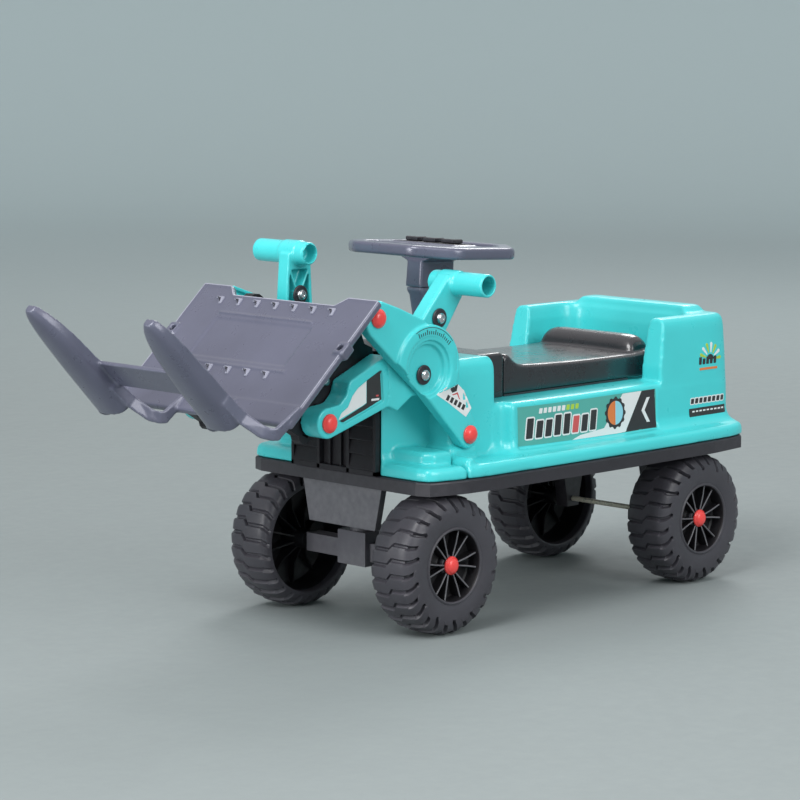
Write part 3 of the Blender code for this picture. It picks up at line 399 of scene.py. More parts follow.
def cylinder(name, base, direction, length, radius, steps=32, chamfer=0.0):
    c = chamfer
    profile = [(0, 0), (0, radius - c)]
    if c:
        profile += [(0.3 * c, radius - 0.3 * c), (c, radius), (length - c, radius), (length - 0.3 * c, radius - 0.3 * c)]
    profile += [(length, radius - c), (length, 0)]
    return lathe(name, profile, base, direction, steps)


def bore_y(x, z, radius, y0, y1, steps=32):
    return cylinder("bore", (x, y0, z), (0, 1, 0), y1 - y0, radius, steps)


def circle(centre, radius, start, end, steps):
    return [
        (
            centre[0] + radius * math.cos(math.radians(start + (end - start) * k / steps)),
            centre[1] + radius * math.sin(math.radians(start + (end - start) * k / steps)),
        )
        for k in range(steps + 1)
    ]


def settle(obj):
    """Applies the modifiers."""
    bpy.context.view_layer.update()
    graph = bpy.context.evaluated_depsgraph_get()
    mesh = bpy.data.meshes.new_from_object(obj.evaluated_get(graph))
    obj.modifiers.clear()
    obj.data = mesh
    return obj


def combine(target, tool, operation):
    modifier = target.modifiers.new("shape", "BOOLEAN")
    modifier.operation = operation
    modifier.solver = "MANIFOLD"
    modifier.object = tool
    before = len(target.data.polygons)
    settle(target)
    if len(target.data.polygons) < 4:
        raise RuntimeError(f"{operation} with {tool.name} left {before} -> {len(target.data.polygons)} faces")
    bpy.data.objects.remove(tool, do_unlink=True)
    return target


def join(target, *tools):
    for tool in tools:
        combine(target, tool, "UNION")
    return target


def cut(target, *tools):
    for tool in tools:
        combine(target, tool, "DIFFERENCE")
    return target


def gather(name, *objs):
    """The objects as one mesh, each a closed shell in it."""
    bm = bmesh.new()
    for obj in objs:
        bm.from_mesh(obj.data)
    mesh = bpy.data.meshes.new(name)
    bm.to_mesh(mesh)
    bm.free()
    for obj in objs[1:]:
        bpy.data.objects.remove(obj, do_unlink=True)
    objs[0].data = mesh
    objs[0].name = name
    return objs[0]


def fuse(name, voxel, *objs):
    """The shells as one closed skin, before anything is cut from it."""
    obj = gather(name, *objs)
    modifier = obj.modifiers.new("skin", "REMESH")
    modifier.mode = "VOXEL"
    modifier.voxel_size = voxel
    return settle(obj)


def soften(obj, voxel, smooth=6, ratio=None):
    """One skin over everything, with rounded moulded edges."""
    modifier = obj.modifiers.new("skin", "REMESH")
    modifier.mode = "VOXEL"
    modifier.voxel_size = voxel
    modifier.use_smooth_shade = True
    if smooth:
        modifier = obj.modifiers.new("soft", "SMOOTH")
        modifier.factor = 0.5
        modifier.iterations = smooth
    if ratio:
        modifier = obj.modifiers.new("thin", "DECIMATE")
        modifier.ratio = ratio
    return settle(obj)


def mirrored(obj, name):
    bm = bmesh.new()
    bm.from_mesh(obj.data)
    for vert in bm.verts:
        vert.co.y = -vert.co.y
    bmesh.ops.reverse_faces(bm, faces=bm.faces)
    copy = mesh_object(name, bm, recalc=False)
    for mat in obj.data.materials:
        copy.data.materials.append(mat)
    return copy


def place(obj, name, body, mats, nodes=(), smooth=40):
    """Moves a piece from stations to the frame, gives it its material and body, and hides the CAD node that it stands
    in for.
    """
    obj.name = name
    obj.data.name = name
    obj.data.transform(Matrix.Translation((OX, 0, 0)))
    if not isinstance(mats, (list, tuple)):
        mats = [mats]
    keep = [p.material_index for p in obj.data.polygons] if len(mats) > 1 else None
    obj.data.materials.clear()
    for mat in mats:
        obj.data.materials.append(mat)
    if keep:
        obj.data.polygons.foreach_set("material_index", keep)
    obj.data.shade_smooth()
    if smooth < 180:
        obj.data.set_sharp_from_angle(angle=math.radians(smooth))
    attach(obj, body)
    if nodes:
        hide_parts(*([nodes] if isinstance(nodes, str) else nodes))
    return obj


# ------------------------------------------------- dimensions, as in the frame
WHEEL_R = AXLE_Z
BASE_Z0, BASE_Z1, BASE_WALL = 0.1520, 0.1665, 0.0035
LIP_Z0, LIP_Z1 = 0.1668, 0.1810
SEAM_X = -0.0137
NOSE_X0, NOSE_X1 = -0.0355, 0.0364
NOSE_W0, NOSE_W1, NOSE_TOP = 0.0760, 0.0636, 0.2890
SHOULDER_X0, SHOULDER_X1 = -0.0970, -0.0360
SHOULDER_W, SHOULDER_TOP = 0.1040, 0.2870
DECK_Z = 0.2360
TUB_W = 0.1235
BACK_TOP, WING_TOP = 0.3150, 0.3070
SEAT_X0, SEAT_X1, SEAT_W = -0.3850, -0.1395, 0.0780
SEAT_Z0, SEAT_Z1 = 0.2390, 0.2690
HINGE_X, HINGE_Z = -0.3950, 0.2445
COLUMN_TILT = math.radians(3.0)
COLUMN_BASE = Vector((-0.0990, 0, 0.2860))
COLUMN_DIR = Vector((-math.sin(COLUMN_TILT), 0, math.cos(COLUMN_TILT)))
COLUMN_FLAT = Vector((math.cos(COLUMN_TILT), 0, math.sin(COLUMN_TILT)))
WHEEL_PLANE = 0.1085
PIVOT_REAR = (-0.0422, 0.2086)
PIVOT_FORK = (0.0958, 0.3422)
PIVOT_TILT = (0.0235, 0.2775)
PIVOT_LINK = (0.1513, 0.2379)
ROD_BORE = 0.0034
DISC = (0.0228, 0.2843)
ARM_Y0, ARM_Y1, DISC_Y = 0.1050, 0.1180, 0.1215
LINK_Y0, LINK_Y1, LINK_BACK = 0.0925, 0.1035, 0.0780
HANDLE_Y0, HANDLE_Y1 = 0.0745, 0.0920
HANDLE_LENGTH = 0.1158
HANDLE_ANGLE_L, HANDLE_ANGLE_R = math.radians(129.2), math.radians(90.4)
GRIP_Y0, GRIP_Y1, GRIP_R = 0.0580, 0.1375, 0.0125
FORK_TOP = (0.1080, 0.3630)
FORK_SLOPE = math.atan2(-0.672, 0.742)
FORK_LENGTH, FORK_W, FORK_T = 0.2000, 0.1325, 0.0080
PRONG_SLOPE = math.radians(46.0)
PRONG_LENGTH, PRONG_MID, PRONG_WALL = 0.1790, 0.0840, 0.0034
PANEL_END = 0.1720

HALF_BASE = [
    (0.0400, 0.1180), (0.0340, 0.1335), (0.0120, 0.1410), (-0.0120, 0.1460), (-0.0600, 0.1495),
    (-0.2500, 0.1515), (-0.4200, 0.1495), (-0.4770, 0.1425), (-0.4970, 0.1225), (-0.5080, 0.0900),
]


def both_sides(half):
    return [(x, -y) for x, y in half] + [(x, y) for x, y in reversed(half)]


def on_column(h, side=0.0, ahead=0.0):
    return COLUMN_BASE + COLUMN_DIR * h + Vector((0, side, 0)) + COLUMN_FLAT * ahead


# --------------------------------------------------------------------- wheels
def make_wheel():
    """One wheel on the left of the axle, its inner side open."""
    lugs, per = 28, 10
    n = lugs * per
    pitch = 2 * math.pi / lugs
    # (y, radius, kind): t = tread, o = outer shoulder, i = inner shoulder, r = rim recess, - = plain
    line = [
        (0.0830, 0.0034, "-"), (0.1290, 0.0034, "-"), (0.1290, 0.0092, "-"), (0.1284, 0.0102, "-"),
        (0.1262, 0.0112, "-"), (0.1228, 0.0122, "r"), (0.1216, 0.0150, "r"), (0.1214, 0.0250, "r"),
        (0.1216, 0.0345, "r"), (0.1232, 0.0362, "r"), (0.1290, 0.0370, "r"), (0.1350, 0.0375, "r"),
        (0.1376, 0.0380, "-"), (0.1386, 0.0388, "-"), (0.1389, 0.0398, "-"), (0.1385, 0.0408, "-"),
        (0.1377, 0.0414, "-"), (0.1381, 0.0426, "-"), (0.1389, 0.0465, "-"), (0.1393, 0.0520, "-"),
        (0.1392, 0.0570, "-"), (0.1389, 0.0600, "o"), (0.1383, 0.0624, "o"), (0.1375, 0.0648, "o"),
        (0.1364, 0.0672, "o"), (0.1349, 0.0695, "o"), (0.1330, 0.0714, "o"), (0.1304, 0.0729, "t"),
        (0.1270, 0.0739, "t"), (0.1220, 0.0745, "t"), (0.1170, 0.0748, "t"), (0.1140, 0.0750, "t"),
        (0.1085, 0.0750, "t"), (0.1050, 0.0750, "t"), (0.1000, 0.0748, "t"), (0.0950, 0.0745, "t"),
        (0.0905, 0.0739, "t"), (0.0870, 0.0729, "t"), (0.0844, 0.0712, "i"), (0.0825, 0.0688, "i"),
        (0.0813, 0.0660, "i"), (0.0807, 0.0625, "-"), (0.0805, 0.0595, "-"), (0.0815, 0.0582, "-"),
        (0.0900, 0.0572, "-"), (0.1050, 0.0550, "-"), (0.1150, 0.0525, "-"), (0.1172, 0.0480, "-"),
        (0.1180, 0.0300, "-"), (0.1182, 0.0150, "-"), (0.1170, 0.0122, "-"), (0.1100, 0.0112, "-"),
        (0.0850, 0.0106, "-"), (0.0830, 0.0098, "-"),
    ]
    # The grooves slant: how far each line of points is turned, in lug pitches.
    turn = []
    for y, r, kind in line:
        if kind in "t":
            turn.append(0.0 if y > 0.1130 else (0.38 if y < 0.1090 else 0.38 * (0.1130 - y) / 0.0040))
        elif kind == "o":
            turn.append(-0.42 * ((0.0722 - r) / 0.0125) ** 1.6)
        elif kind == "i":
            turn.append(0.38 + 0.25 * (0.0722 - r) / 0.0065)
        elif y > 0.137 and 0.0414 < r < 0.0600:
            turn.append(-0.42 * (r - 0.0414) / 0.0186)
        elif r > 0.0570:
            turn.append(0.63 * (r - 0.0570) / 0.0056 if r < 0.0626 else 0.63)
        else:
            turn.append(0.0)
    bm = bmesh.new()
    rings = []
    for (y, r, kind), twist in zip(line, turn):
        ring = []
        for k in range(n):
            phase = k % per
            lug = k // per
            groove = 1.0 if phase in (0, 1) else (0.6 if phase == 2 and kind in "oi" else 0.0)
            ramp = (phase - 2) / (per - 3) if phase > 1 else 0.0
            yy, rr = y, r
            if kind == "t":
                rr -= 0.0038 * groove + 0.0014 * ramp
            elif kind == "o":
                reach = 0.0588 if lug % 2 == 0 else 0.0636
                if r > reach:
                    yy -= 0.0036 * groove
                    rr -= 0.0048 * groove + 0.0014 * ramp
            elif kind == "i":
                yy += 0.0020 * groove
                rr -= 0.0024 * groove + 0.0010 * ramp
            a = 2 * math.pi * k / n + twist * pitch
            ring.append(bm.verts.new((rr * math.sin(a), yy, WHEEL_R + rr * math.cos(a))))
        rings.append(ring)
    for i, a in enumerate(rings):
        b = rings[(i + 1) % len(rings)]
        inner = line[i][2] == "r" or line[(i + 1) % len(line)][2] == "r" or i >= 44
        for k in range(n):
            j = (k + 1) % n
            face = bm.faces.new((a[k], a[j], b[j], b[k]))
            face.material_index = 1 if inner else 0
    bmesh.ops.recalc_face_normals(bm, faces=bm.faces)

    def spoke(angle, lean, r0, r1, w0, w1, y0, y1, index):
        out = []
        for r, w, yt in ((r0, w0, y1 - 0.0012), ((r0 + r1) / 2, (w0 + w1) / 2, y1), (r1, w1, y1 + 0.0006)):
            c = Vector((math.sin(angle + lean * (r - r0) / (r1 - r0)), math.cos(angle + lean * (r - r0) / (r1 - r0))))
            t = Vector((c.y, -c.x))
            row = []
            for side, y in ((-1, y0), (-0.85, yt - 0.0006), (-0.4, yt), (0.4, yt), (0.85, yt - 0.0006), (1, y0)):
                q = c * r + t * (w * side)
                row.append(bm.verts.new((q.x, y, WHEEL_R + q.y)))
            out.append(row)
        made = []
        for a, b in zip(out, out[1:]):
            for i in range(6):
                made.append(bm.faces.new((a[i], a[(i + 1) % 6], b[(i + 1) % 6], b[i])))
        made.append(bm.faces.new(out[0][::-1]))
        made.append(bm.faces.new(out[-1]))
        for i, face in enumerate(made):
            face.material_index = 1 if i < 12 and i % 6 in (0, 4, 5) else index
        bmesh.ops.recalc_face_normals(bm, faces=made)

    for k in range(6):
        a = 2 * math.pi * (k + 0.5) / 6
        spoke(a, 0.0, 0.0100, 0.0330, 0.0016, 0.0036, 0.1210, 0.1250, 1)
        for e in (1, -1):
            spoke(a + e * 0.16, e * 0.05, 0.0098, 0.0378, 0.0010, 0.0011, 0.1210, 0.1330, 2)
    for k in range(10):
        # Ribs inside the hollow.
        a = 2 * math.pi * k / 10
        c, t = Vector((math.sin(a), math.cos(a))), Vector((math.cos(a), -math.sin(a)))
        rows = []
        for y0, r in ((0.0960, 0.0104), (0.1080, 0.0300), (0.1120, 0.0535)):
            row = []
            for y, w in ((y0, -1), (y0, 1), (0.1185, 1), (0.1185, -1)):
                q = c * r + t * (0.0009 * w)
                row.append(bm.verts.new((q.x, y, WHEEL_R + q.y)))
            rows.append(row)
        made = []
        for ra, rb in zip(rows, rows[1:]):
            for i in range(4):
                made.append(bm.faces.new((ra[i], ra[(i + 1) % 4], rb[(i + 1) % 4], rb[i])))
        made.append(bm.faces.new(rows[0][::-1]))
        made.append(bm.faces.new(rows[-1]))
        for face in made:
            face.material_index = 1
        bmesh.ops.recalc_face_normals(bm, faces=made)
    return mesh_object("wheel", bm, recalc=False)


def at_wheel(source, name, x, s):
    bm = bmesh.new()
    bm.from_mesh(source.data)
    spin = 0.11 if x < -0.1 else 0.04
    for vert in bm.verts:
        dx, dz = vert.co.x, vert.co.z - WHEEL_R
        vert.co.x = x + dx * math.cos(spin) + dz * math.sin(spin)
        vert.co.z = WHEEL_R - dx * math.sin(spin) + dz * math.cos(spin)
        vert.co.y *= s
    if s < 0:
        bmesh.ops.reverse_faces(bm, faces=bm.faces)
    return mesh_object(name, bm, recalc=False)


CAP_DOME = [(-0.0010, 0), (-0.0010, 0.0090), (0.0, 0.0099), (0.0012, 0.0100), (0.0022, 0.0096), (0.0027, 0.0086),
            (0.0036, 0.0081), (0.0048, 0.0070), (0.0057, 0.0052), (0.0063, 0.0028), (0.0065, 0)]

wheel_source = make_wheel()
cap_source = lathe("cap", [(0.1318, 0)] + [(0.1318 + h, r) for h, r in CAP_DOME[1:]], (0, 0, WHEEL_R), (0, 1, 0), 32)
for label, x, s in (
    ("front_left", 0.0, 1), ("front_right", 0.0, -1), ("rear_left", REAR_X, 1), ("rear_right", REAR_X, -1),
):
    place(at_wheel(wheel_source, "w", x, s), "tyre_" + label, label + "_wheel", [TYRE, DARK, RIM],
          "wheel_" + label, 32)
    place(at_wheel(cap_source, "c", x, s), "cap_" + label, label + "_wheel", RED,
          "hub_cap_" + label, 50)
for obj in (wheel_source, cap_source):
    bpy.data.objects.remove(obj, do_unlink=True)
print("wheels done", flush=True)

# -------------------------------------------------------------- rear moulding
rear_half = [(SEAM_X - 0.0003, 0.1462)] + [p for p in HALF_BASE if p[0] < -0.05]
rear_curve = spline(rear_half, 6)
rear_lip = (
    [(SHOULDER_X1, -NOSE_W0 - 0.0015), (SEAM_X - 0.0003, -NOSE_W0 - 0.0015)]
    + [(x, -y + 0.0015) for x, y in rear_curve]
    + [(x, y - 0.0015) for x, y in reversed(rear_curve)]
    + [(SEAM_X - 0.0003, NOSE_W0 + 0.0015), (SHOULDER_X1, NOSE_W0 + 0.0015)]
)
V_BODY = 0.0016
shells = [
    stepped("lip", rear_lip, [(LIP_Z0, 0), (0.1740, 0.0002), (0.1775, 0.0012), (0.1797, 0.0030), (0.1808, 0.0052), (LIP_Z1, 0.0085)])
]
tub_half = [
    (-0.0900, 0.1070), (-0.1020, 0.1080), (-0.1080, 0.1180), (-0.1300, 0.1215), (-0.2300, TUB_W),
    (-0.3300, 0.1215), (-0.4300, 0.1198), (-0.4740, 0.1190), (-0.4885, 0.1090), (-0.4920, 0.0860),
]
tub_front = fillet([(-0.0900, 0.0), (-0.0900, 0.1070), (-0.1045, 0.1075), (-0.1090, 0.1190), (-0.1500, 0.1223)],
                   [0, 0.004, 0.004, 0.007, 0], 4)[1:-1]
tub_curve = tub_front + spline([(-0.1500, 0.1223)] + tub_half[4:], 5)
tub_outline = both_sides(tub_curve)
wing_curve = spline([(-0.3560, 0.1210)] + tub_half[6:], 6)
wing_outline = both_sides(wing_curve)
wings = fuse(
    "wings", V_BODY,
    stepped(
        "wings",
        wing_outline,
        [(0.1700, 0.0002), (0.2300, 0.0022), (0.2630, 0.0040), (0.2930, 0.0062), (0.2990, 0.0072), (0.3030, 0.0088),
         (0.3056, 0.0115), (0.3067, 0.0145), (WING_TOP, 0.0180)],
    ),
    loft(
        "back",
        [
            [(x, y, z) for x, y in offset(fillet([(-0.4830, -0.0900), (-0.4380, -0.0900), (-0.4380, 0.0900), (-0.4830, 0.0900)], 0.016, 5), d)]
            for z, d in ((DECK_Z - 0.004, 0), (0.2980, 0.0010), (0.3060, 0.0028), (0.3110, 0.0058), (0.3140, 0.0100), (BACK_TOP, 0.0150))
        ],
    ),
)
room = fillet([(-0.4400, -0.0890), (-0.30, -0.0890), (-0.30, 0.0890), (-0.4400, 0.0890)], [0.022, 0, 0, 0.022], 8)
cut(wings, stepped("seat_room", room, [(DECK_Z - 0.01, 0), (0.2900, -0.0008), (0.3020, -0.0030), (0.3080, -0.0060), (0.40, -0.02)]))
cut(
    wings,
    loft(
        "lean",
        [
            [(-0.3300, y, DECK_Z - 0.02), (-0.3535, y, DECK_Z - 0.02), (-0.3740, y, 0.34), (-0.3300, y, 0.34)]
            for y in (-0.2, 0.2)
        ],
    ),
)
shoulder = fillet([
    (SHOULDER_X0, -SHOULDER_W), (SHOULDER_X1, -SHOULDER_W), (SHOULDER_X1, SHOULDER_W), (SHOULDER_X0, SHOULDER_W),
], [0.003, 0.008, 0.008, 0.003], 4)
shells += [
    stepped("tub", tub_outline, [(LIP_Z0, 0), (0.2280, 0.0018), (0.2315, 0.0026), (0.2340, 0.0044), (0.2354, 0.0068), (DECK_Z, 0.0100)]),
    stepped("flare", tub_outline, [(0.1720, -0.0110), (0.1808, -0.0100), (0.1822, -0.0070), (0.1842, -0.0042), (0.1875, -0.0018), (0.1930, 0.0004)]),
    stepped("shoulder", shoulder, [(LIP_Z0, -0.0010), (0.2700, 0), (0.2790, 0.0010), (0.2835, 0.0032), (0.2860, 0.0062), (SHOULDER_TOP, 0.0100)]),
    wings,
]
# The arm's boss on each side, and the rounded step that it grows from.
for s in (1, -1):
    shells += [
        plate_y("boss", fillet([(-0.0600, 0.1910), (-0.0260, 0.1910), (-0.0260, 0.2330), (-0.0600, 0.2330)], [0.014, 0.014, 0.008, 0.008], 6),
                s * 0.0600, s * 0.1040, 0.0014),
        prism_z("step", fillet([(-0.0640, s * 0.0500), (-0.0205, s * 0.0500), (-0.0205, s * 0.1120), (-0.0640, s * 0.1120)], 0.008, 4),
                0.1700, 0.1960, 0.006),
        lathe("rib", [(0.0900, 0), (0.0900, 0.0075), (0.1385, 0.0075), (0.1408, 0.0052), (0.1414, 0)],
              (-0.0222, 0, 0.1808), (0, s, 0), 24),
    ]
body = fuse("body", V_BODY, *shells)
for s in (1, -1):
    panel = box("panel", (-0.3500, min(s * 0.10, s * 0.16), 0.1842), (-0.1160, max(s * 0.10, s * 0.16), 0.2318))
    cut(panel, stepped("inner", tub_outline, [(0.17, 0.0012), (0.2280, 0.0030), (0.25, 0.0037)]))
    cut(body, panel)
cut(
    body,
    stepped("tub_hollow", offset(tub_outline, 0.0060), [(LIP_Z0 - 0.01, 0), (DECK_Z - 0.0040, 0.0026)]),
    prism_z("shoulder_hollow", offset(shoulder, 0.0040), LIP_Z0 - 0.01, SHOULDER_TOP - 0.0040),
    box("bin_opening", (-0.3445, -0.0725, 0.20), (-0.1455, 0.0725, DECK_Z + 0.01)),
    cylinder("shaft_hole", on_column(-0.13), COLUMN_DIR, 0.15, 0.0070, 16),
)
for s in (1, -1):
    post = box("post", (HINGE_X - 0.0060, min(s * 0.0700, s * 0.0770), DECK_Z - 0.002),
               (HINGE_X + 0.0060, max(s * 0.0700, s * 0.0770), HINGE_Z + 0.0060))
    join(body, post)
soften(body, V_BODY, 6, 0.62)
place(body, "rear_moulding", "chassis", TEAL, "rear_body", 180)
print("body done", len(body.data.polygons), flush=True)

# ---------------------------------------------------------------- front cowl
front_curve = spline([(SEAM_X, 0.1462)] + [p for p in reversed(HALF_BASE) if p[0] > -0.012], 5)
front_curve = [(x, y) for x, y in front_curve]
front_lip = offset([(x, -y) for x, y in reversed(front_curve)] + front_curve, 0.0015)
cowl_shells = [stepped("lip", front_lip, [(LIP_Z0, 0), (0.1740, 0.0002), (0.1775, 0.0012), (0.1797, 0.0030), (0.1808, 0.0052), (LIP_Z1, 0.0085)])]
nose = fillet([(NOSE_X0, -NOSE_W0), (NOSE_X1, -NOSE_W1), (NOSE_X1, NOSE_W1), (NOSE_X0, NOSE_W0)], [0.001, 0.0035, 0.0035, 0.001], 4)
cowl_shells.append(stepped("nose", nose, [(LIP_Z0, -0.0040), (0.1815, -0.0034), (0.1850, -0.0012), (0.1900, 0), (0.2850, 0), (0.2876, 0.0008), (NOSE_TOP, 0.0026)]))
for s in (1, -1):
    cowl_shells.append(
        prism_z("step", fillet([(SEAM_X, s * 0.0500), (0.0235, s * 0.0500), (0.0205, s * 0.1080), (0.0120, s * 0.1190), (SEAM_X, s * 0.1200)],
                               [0, 0, 0.010, 0.008, 0], 4), 0.1700, 0.1950, 0.0065),
    )
cowl = fuse("cowl", 0.0014, *cowl_shells)
cut(
    cowl,
    box("grille_room", (NOSE_X1, -0.0650, LIP_Z0 - 0.01), (0.06, 0.0650, 0.30)),
    prism_z("hollow", offset(nose, 0.0035), LIP_Z0 - 0.01, NOSE_TOP - 0.0035),
)
soften(cowl, 0.0014, 5, 0.7)
place(cowl, "front_moulding", "chassis", TEAL, "front_cowl", 180)
print("cowl done", flush=True)

# ------------------------------------------------------------------- grille
GRILLE_X0, GRILLE_X1 = NOSE_X1 + 0.0003, 0.0452


def louvre_profile(z0, z1, rows):
    """X and Z of a wall of sloping slats, from z0 up to z1."""
    out = [(GRILLE_X0, z0), (GRILLE_X1 - 0.0006, z0)]
    pitch = (z1 - z0 - 0.004) / rows
    for row in range(rows):
        z = z0 + 0.002 + row * pitch
        out += [
            (GRILLE_X1 - 0.0002, z + 0.0002), (GRILLE_X1, z + 0.0012), (GRILLE_X1 - 0.0006, z + 0.0028),
            (GRILLE_X1 - 0.0030, z + pitch - 0.0022), (GRILLE_X1 - 0.0032, z + pitch - 0.0010),
        ]
    out += [(GRILLE_X1 - 0.0004, z1 - 0.0014), (GRILLE_X1 - 0.0008, z1), (GRILLE_X0, z1)]
    return out


pieces = []
for s in (1, -1):
    profile = louvre_profile(LIP_Z0 + 0.004, 0.2960, 8)
    pieces.append(loft("slats", [[(x, s * y, z) for x, z in profile] for y in (0.0240, 0.0615)]))
    pieces.append(prism_z("post", [(GRILLE_X0, s * 0.0605), (GRILLE_X1, s * 0.0605), (GRILLE_X1, s * 0.0642), (GRILLE_X0, s * 0.0642)], LIP_Z0, 0.3000, 0.0008))
    pieces.append(prism_z("post", [(GRILLE_X0, s * 0.0205), (GRILLE_X1, s * 0.0205), (GRILLE_X1, s * 0.0245), (GRILLE_X0, s * 0.0245)], LIP_Z0, 0.3000, 0.0008))
    pieces.append(prism_z("bar", [(GRILLE_X0, s * 0.0070), (GRILLE_X1 - 0.003, s * 0.0070), (GRILLE_X1 - 0.003, s * 0.0095), (GRILLE_X0, s * 0.0095)], LIP_Z0, 0.3000, 0.0008))
pieces.append(box("sheet", (GRILLE_X0, -0.0642, LIP_Z0), (GRILLE_X0 + 0.0022, 0.0642, 0.3000)))
pieces.append(prism_z("foot", [(GRILLE_X0, -0.0642), (GRILLE_X1, -0.0642), (GRILLE_X1, 0.0642), (GRILLE_X0, 0.0642)], LIP_Z0, 0.1720, 0.0008))
pieces.append(box("head", (GRILLE_X0, -0.0642, 0.2940), (GRILLE_X1, 0.0642, 0.3000)))
grille = gather("grille", *pieces)
place(grille, "grille_louvres", "chassis", COAL, "front_grille", 30)

# --------------------------------------------------------------------- seat
trim_outline = fillet([(SEAT_X1 + 0.0006, -SEAT_W), (SHOULDER_X0 - 0.0003, -SEAT_W), (SHOULDER_X0 - 0.0003, SEAT_W), (SEAT_X1 + 0.0006, SEAT_W)],
                      [0.003, 0.001, 0.001, 0.003], 4)
trim = stepped("trim", trim_outline, [(DECK_Z + 0.0003, 0), (0.2790, 0), (0.2825, 0.0010), (0.2844, 0.0026), (0.2850, 0.0046)])
cut(
    trim,
    prism_z("inside", offset(trim_outline, 0.0040), DECK_Z - 0.01, 0.2810),
    cylinder("shaft_hole", on_column(-0.13), COLUMN_DIR, 0.15, 0.0068, 20),
)
soften(trim, 0.0012, 3)
place(trim, "seat_trim", "chassis", SEAT, "seat_front_trim", 180)


def seat_section(x, top, crown, w=SEAT_W, edge=0.0065, z0=SEAT_Z0):
    pts = [(x, -w, z0), (x, -w, top - edge)]
    for k in range(1, 6):
        a = math.pi / 2 * k / 5
        pts.append((x, -w + edge * (1 - math.cos(a)), top - edge * (1 - math.sin(a))))
    for k in range(1, 12):
        f = -1 + 2 * k / 12
        pts.append((x, (w - edge) * f, top + crown * (1 - f * f)))
    for k in range(0, 6):
        a = math.pi / 2 * (1 - k / 5)
        pts.append((x, w - edge * (1 - math.cos(a)), top - edge * (1 - math.sin(a))))
    pts.append((x, w, z0))
    return pts


lid_line = spline([
    (-0.1395, 0.2790, 0.0005), (-0.1425, 0.2822, 0.0008), (-0.1490, 0.2815, 0.0010), (-0.1570, 0.2752, 0.0010),
    (-0.1680, 0.2698, 0.0010), (-0.1850, 0.2682, 0.0012), (-0.2200, 0.2668, 0.0012), (-0.2700, 0.2656, 0.0012),
    (-0.3150, 0.2652, 0.0010), (-0.3400, 0.2652, 0.0010),
], 4)
lid_line += [(-0.3600, 0.2655, 0.0010), (-0.3760, 0.2665, 0.0010), (-0.3820, 0.2668, 0.0010), (SEAT_X0, 0.2668, 0.0008)]
lid = loft("lid", [seat_section(*line) for line in lid_line])
join(lid, loft("rear_edge", [
    seat_section(x, top, 0.0008, w, 0.0050, 0.2535)
    for x, top, w in ((-0.3800, 0.2672, SEAT_W), (-0.3900, 0.2678, SEAT_W), (-0.3960, 0.2672, SEAT_W - 0.0010), (-0.3985, 0.2655, SEAT_W - 0.0030), (-0.4000, 0.2625, SEAT_W - 0.0060))
]))
roll_rows = []
for y, k in ((-0.0715, 0.25), (-0.0705, 0.52), (-0.0675, 0.74), (-0.0630, 0.89), (-0.0570, 0.97), (-0.0480, 1.0),
             (0.0480, 1.0), (0.0570, 0.97), (0.0630, 0.89), (0.0675, 0.74), (0.0705, 0.52), (0.0715, 0.25)):
    row = []
    for j in range(28):
        a = 2 * math.pi * j / 28
        c, t = math.cos(a), math.sin(a)
        row.append((
            -0.3790 + 0.0190 * math.copysign(abs(c) ** 0.85, c) * (0.55 + 0.45 * k),
            y,
            0.2600 + (0.0250 * k) * math.copysign(abs(t) ** 0.85, t) if t > 0 else 0.2600 + 0.006 * t * k,
        ))
    roll_rows.append(row)
join(lid, loft("roll", roll_rows))
cut(lid, box("underside", (SEAT_X0 + 0.0040, -0.0680, SEAT_Z0 - 0.01), (SEAT_X1 - 0.0040, 0.0680, SEAT_Z1 - 0.0120)))
for s in (1, -1):
    knuckle = box("knuckle", (HINGE_X, min(s * 0.0500, s * 0.0680), HINGE_Z - 0.0045),
                  (SEAT_X0 + 0.002, max(s * 0.0500, s * 0.0680), HINGE_Z + 0.0045))
    join(knuckle, bore_y(HINGE_X, HINGE_Z, 0.0050, min(s * 0.0500, s * 0.0680), max(s * 0.0500, s * 0.0680), 20))
    join(lid, knuckle)
soften(lid, 0.0014, 6, 0.6)
place(lid, "seat_shell", "seat_lid", SEAT, "seat_lid", 180)
print("seat done", flush=True)


# ------------------------------------------------------------ steering wheel
def column_section(h, half_x, half_y, r=0.004):
    return [
        tuple(on_column(h, y, x))
        for x, y in fillet([(-half_x, -half_y), (half_x, -half_y), (half_x, half_y), (-half_x, half_y)], r, 5)
    ]


def wheel_levels(outline, levels):
    return [[tuple(on_column(h, y, x)) for x, y in offset(outline, d)] for h, d in levels]


WHEEL_H0, WHEEL_H1 = WHEEL_PLANE - 0.0045, WHEEL_PLANE + 0.0080
path = fillet(
    [(-0.0690, -0.040), (-0.040, -0.0750), (0.040, -0.0750), (0.0690, -0.040), (0.0690, 0.040), (0.040, 0.0750), (-0.040, 0.0750), (-0.0690, 0.040)],
    0.015, 7,
)
rim_rows = []
count = len(path)
for i, (px, py) in enumerate(path):
    a, b = Vector(path[i - 1]), Vector(path[(i + 1) % count])
    along_path = (b - a).normalized()
    out_dir = Vector((along_path.y, -along_path.x))
    if out_dir.dot(Vector((px, py))) < 0:
        out_dir = -out_dir
    side = abs(py) / 0.075
    drop = 0.0022 * max(0.0, (side - 0.45) / 0.55)
    high = 0.0060 + 0.0002 * side
    row = []
    for j in range(20):
        t = 2 * math.pi * j / 20
        c, s_ = math.cos(t), math.sin(t)
        w = 0.0098 * math.copysign(abs(c) ** 0.42, c)
        h = (high if s_ > 0 else 0.0070) * math.copysign(abs(s_) ** 0.50, s_)
        q = Vector((px, py)) + out_dir * w
        row.append(tuple(on_column(WHEEL_PLANE + 0.0018 + h - drop * (0.5 + 0.5 * c), q.y, q.x)))
    rim_rows.append(row)
ring = loft("ring", rim_rows, closed=True)
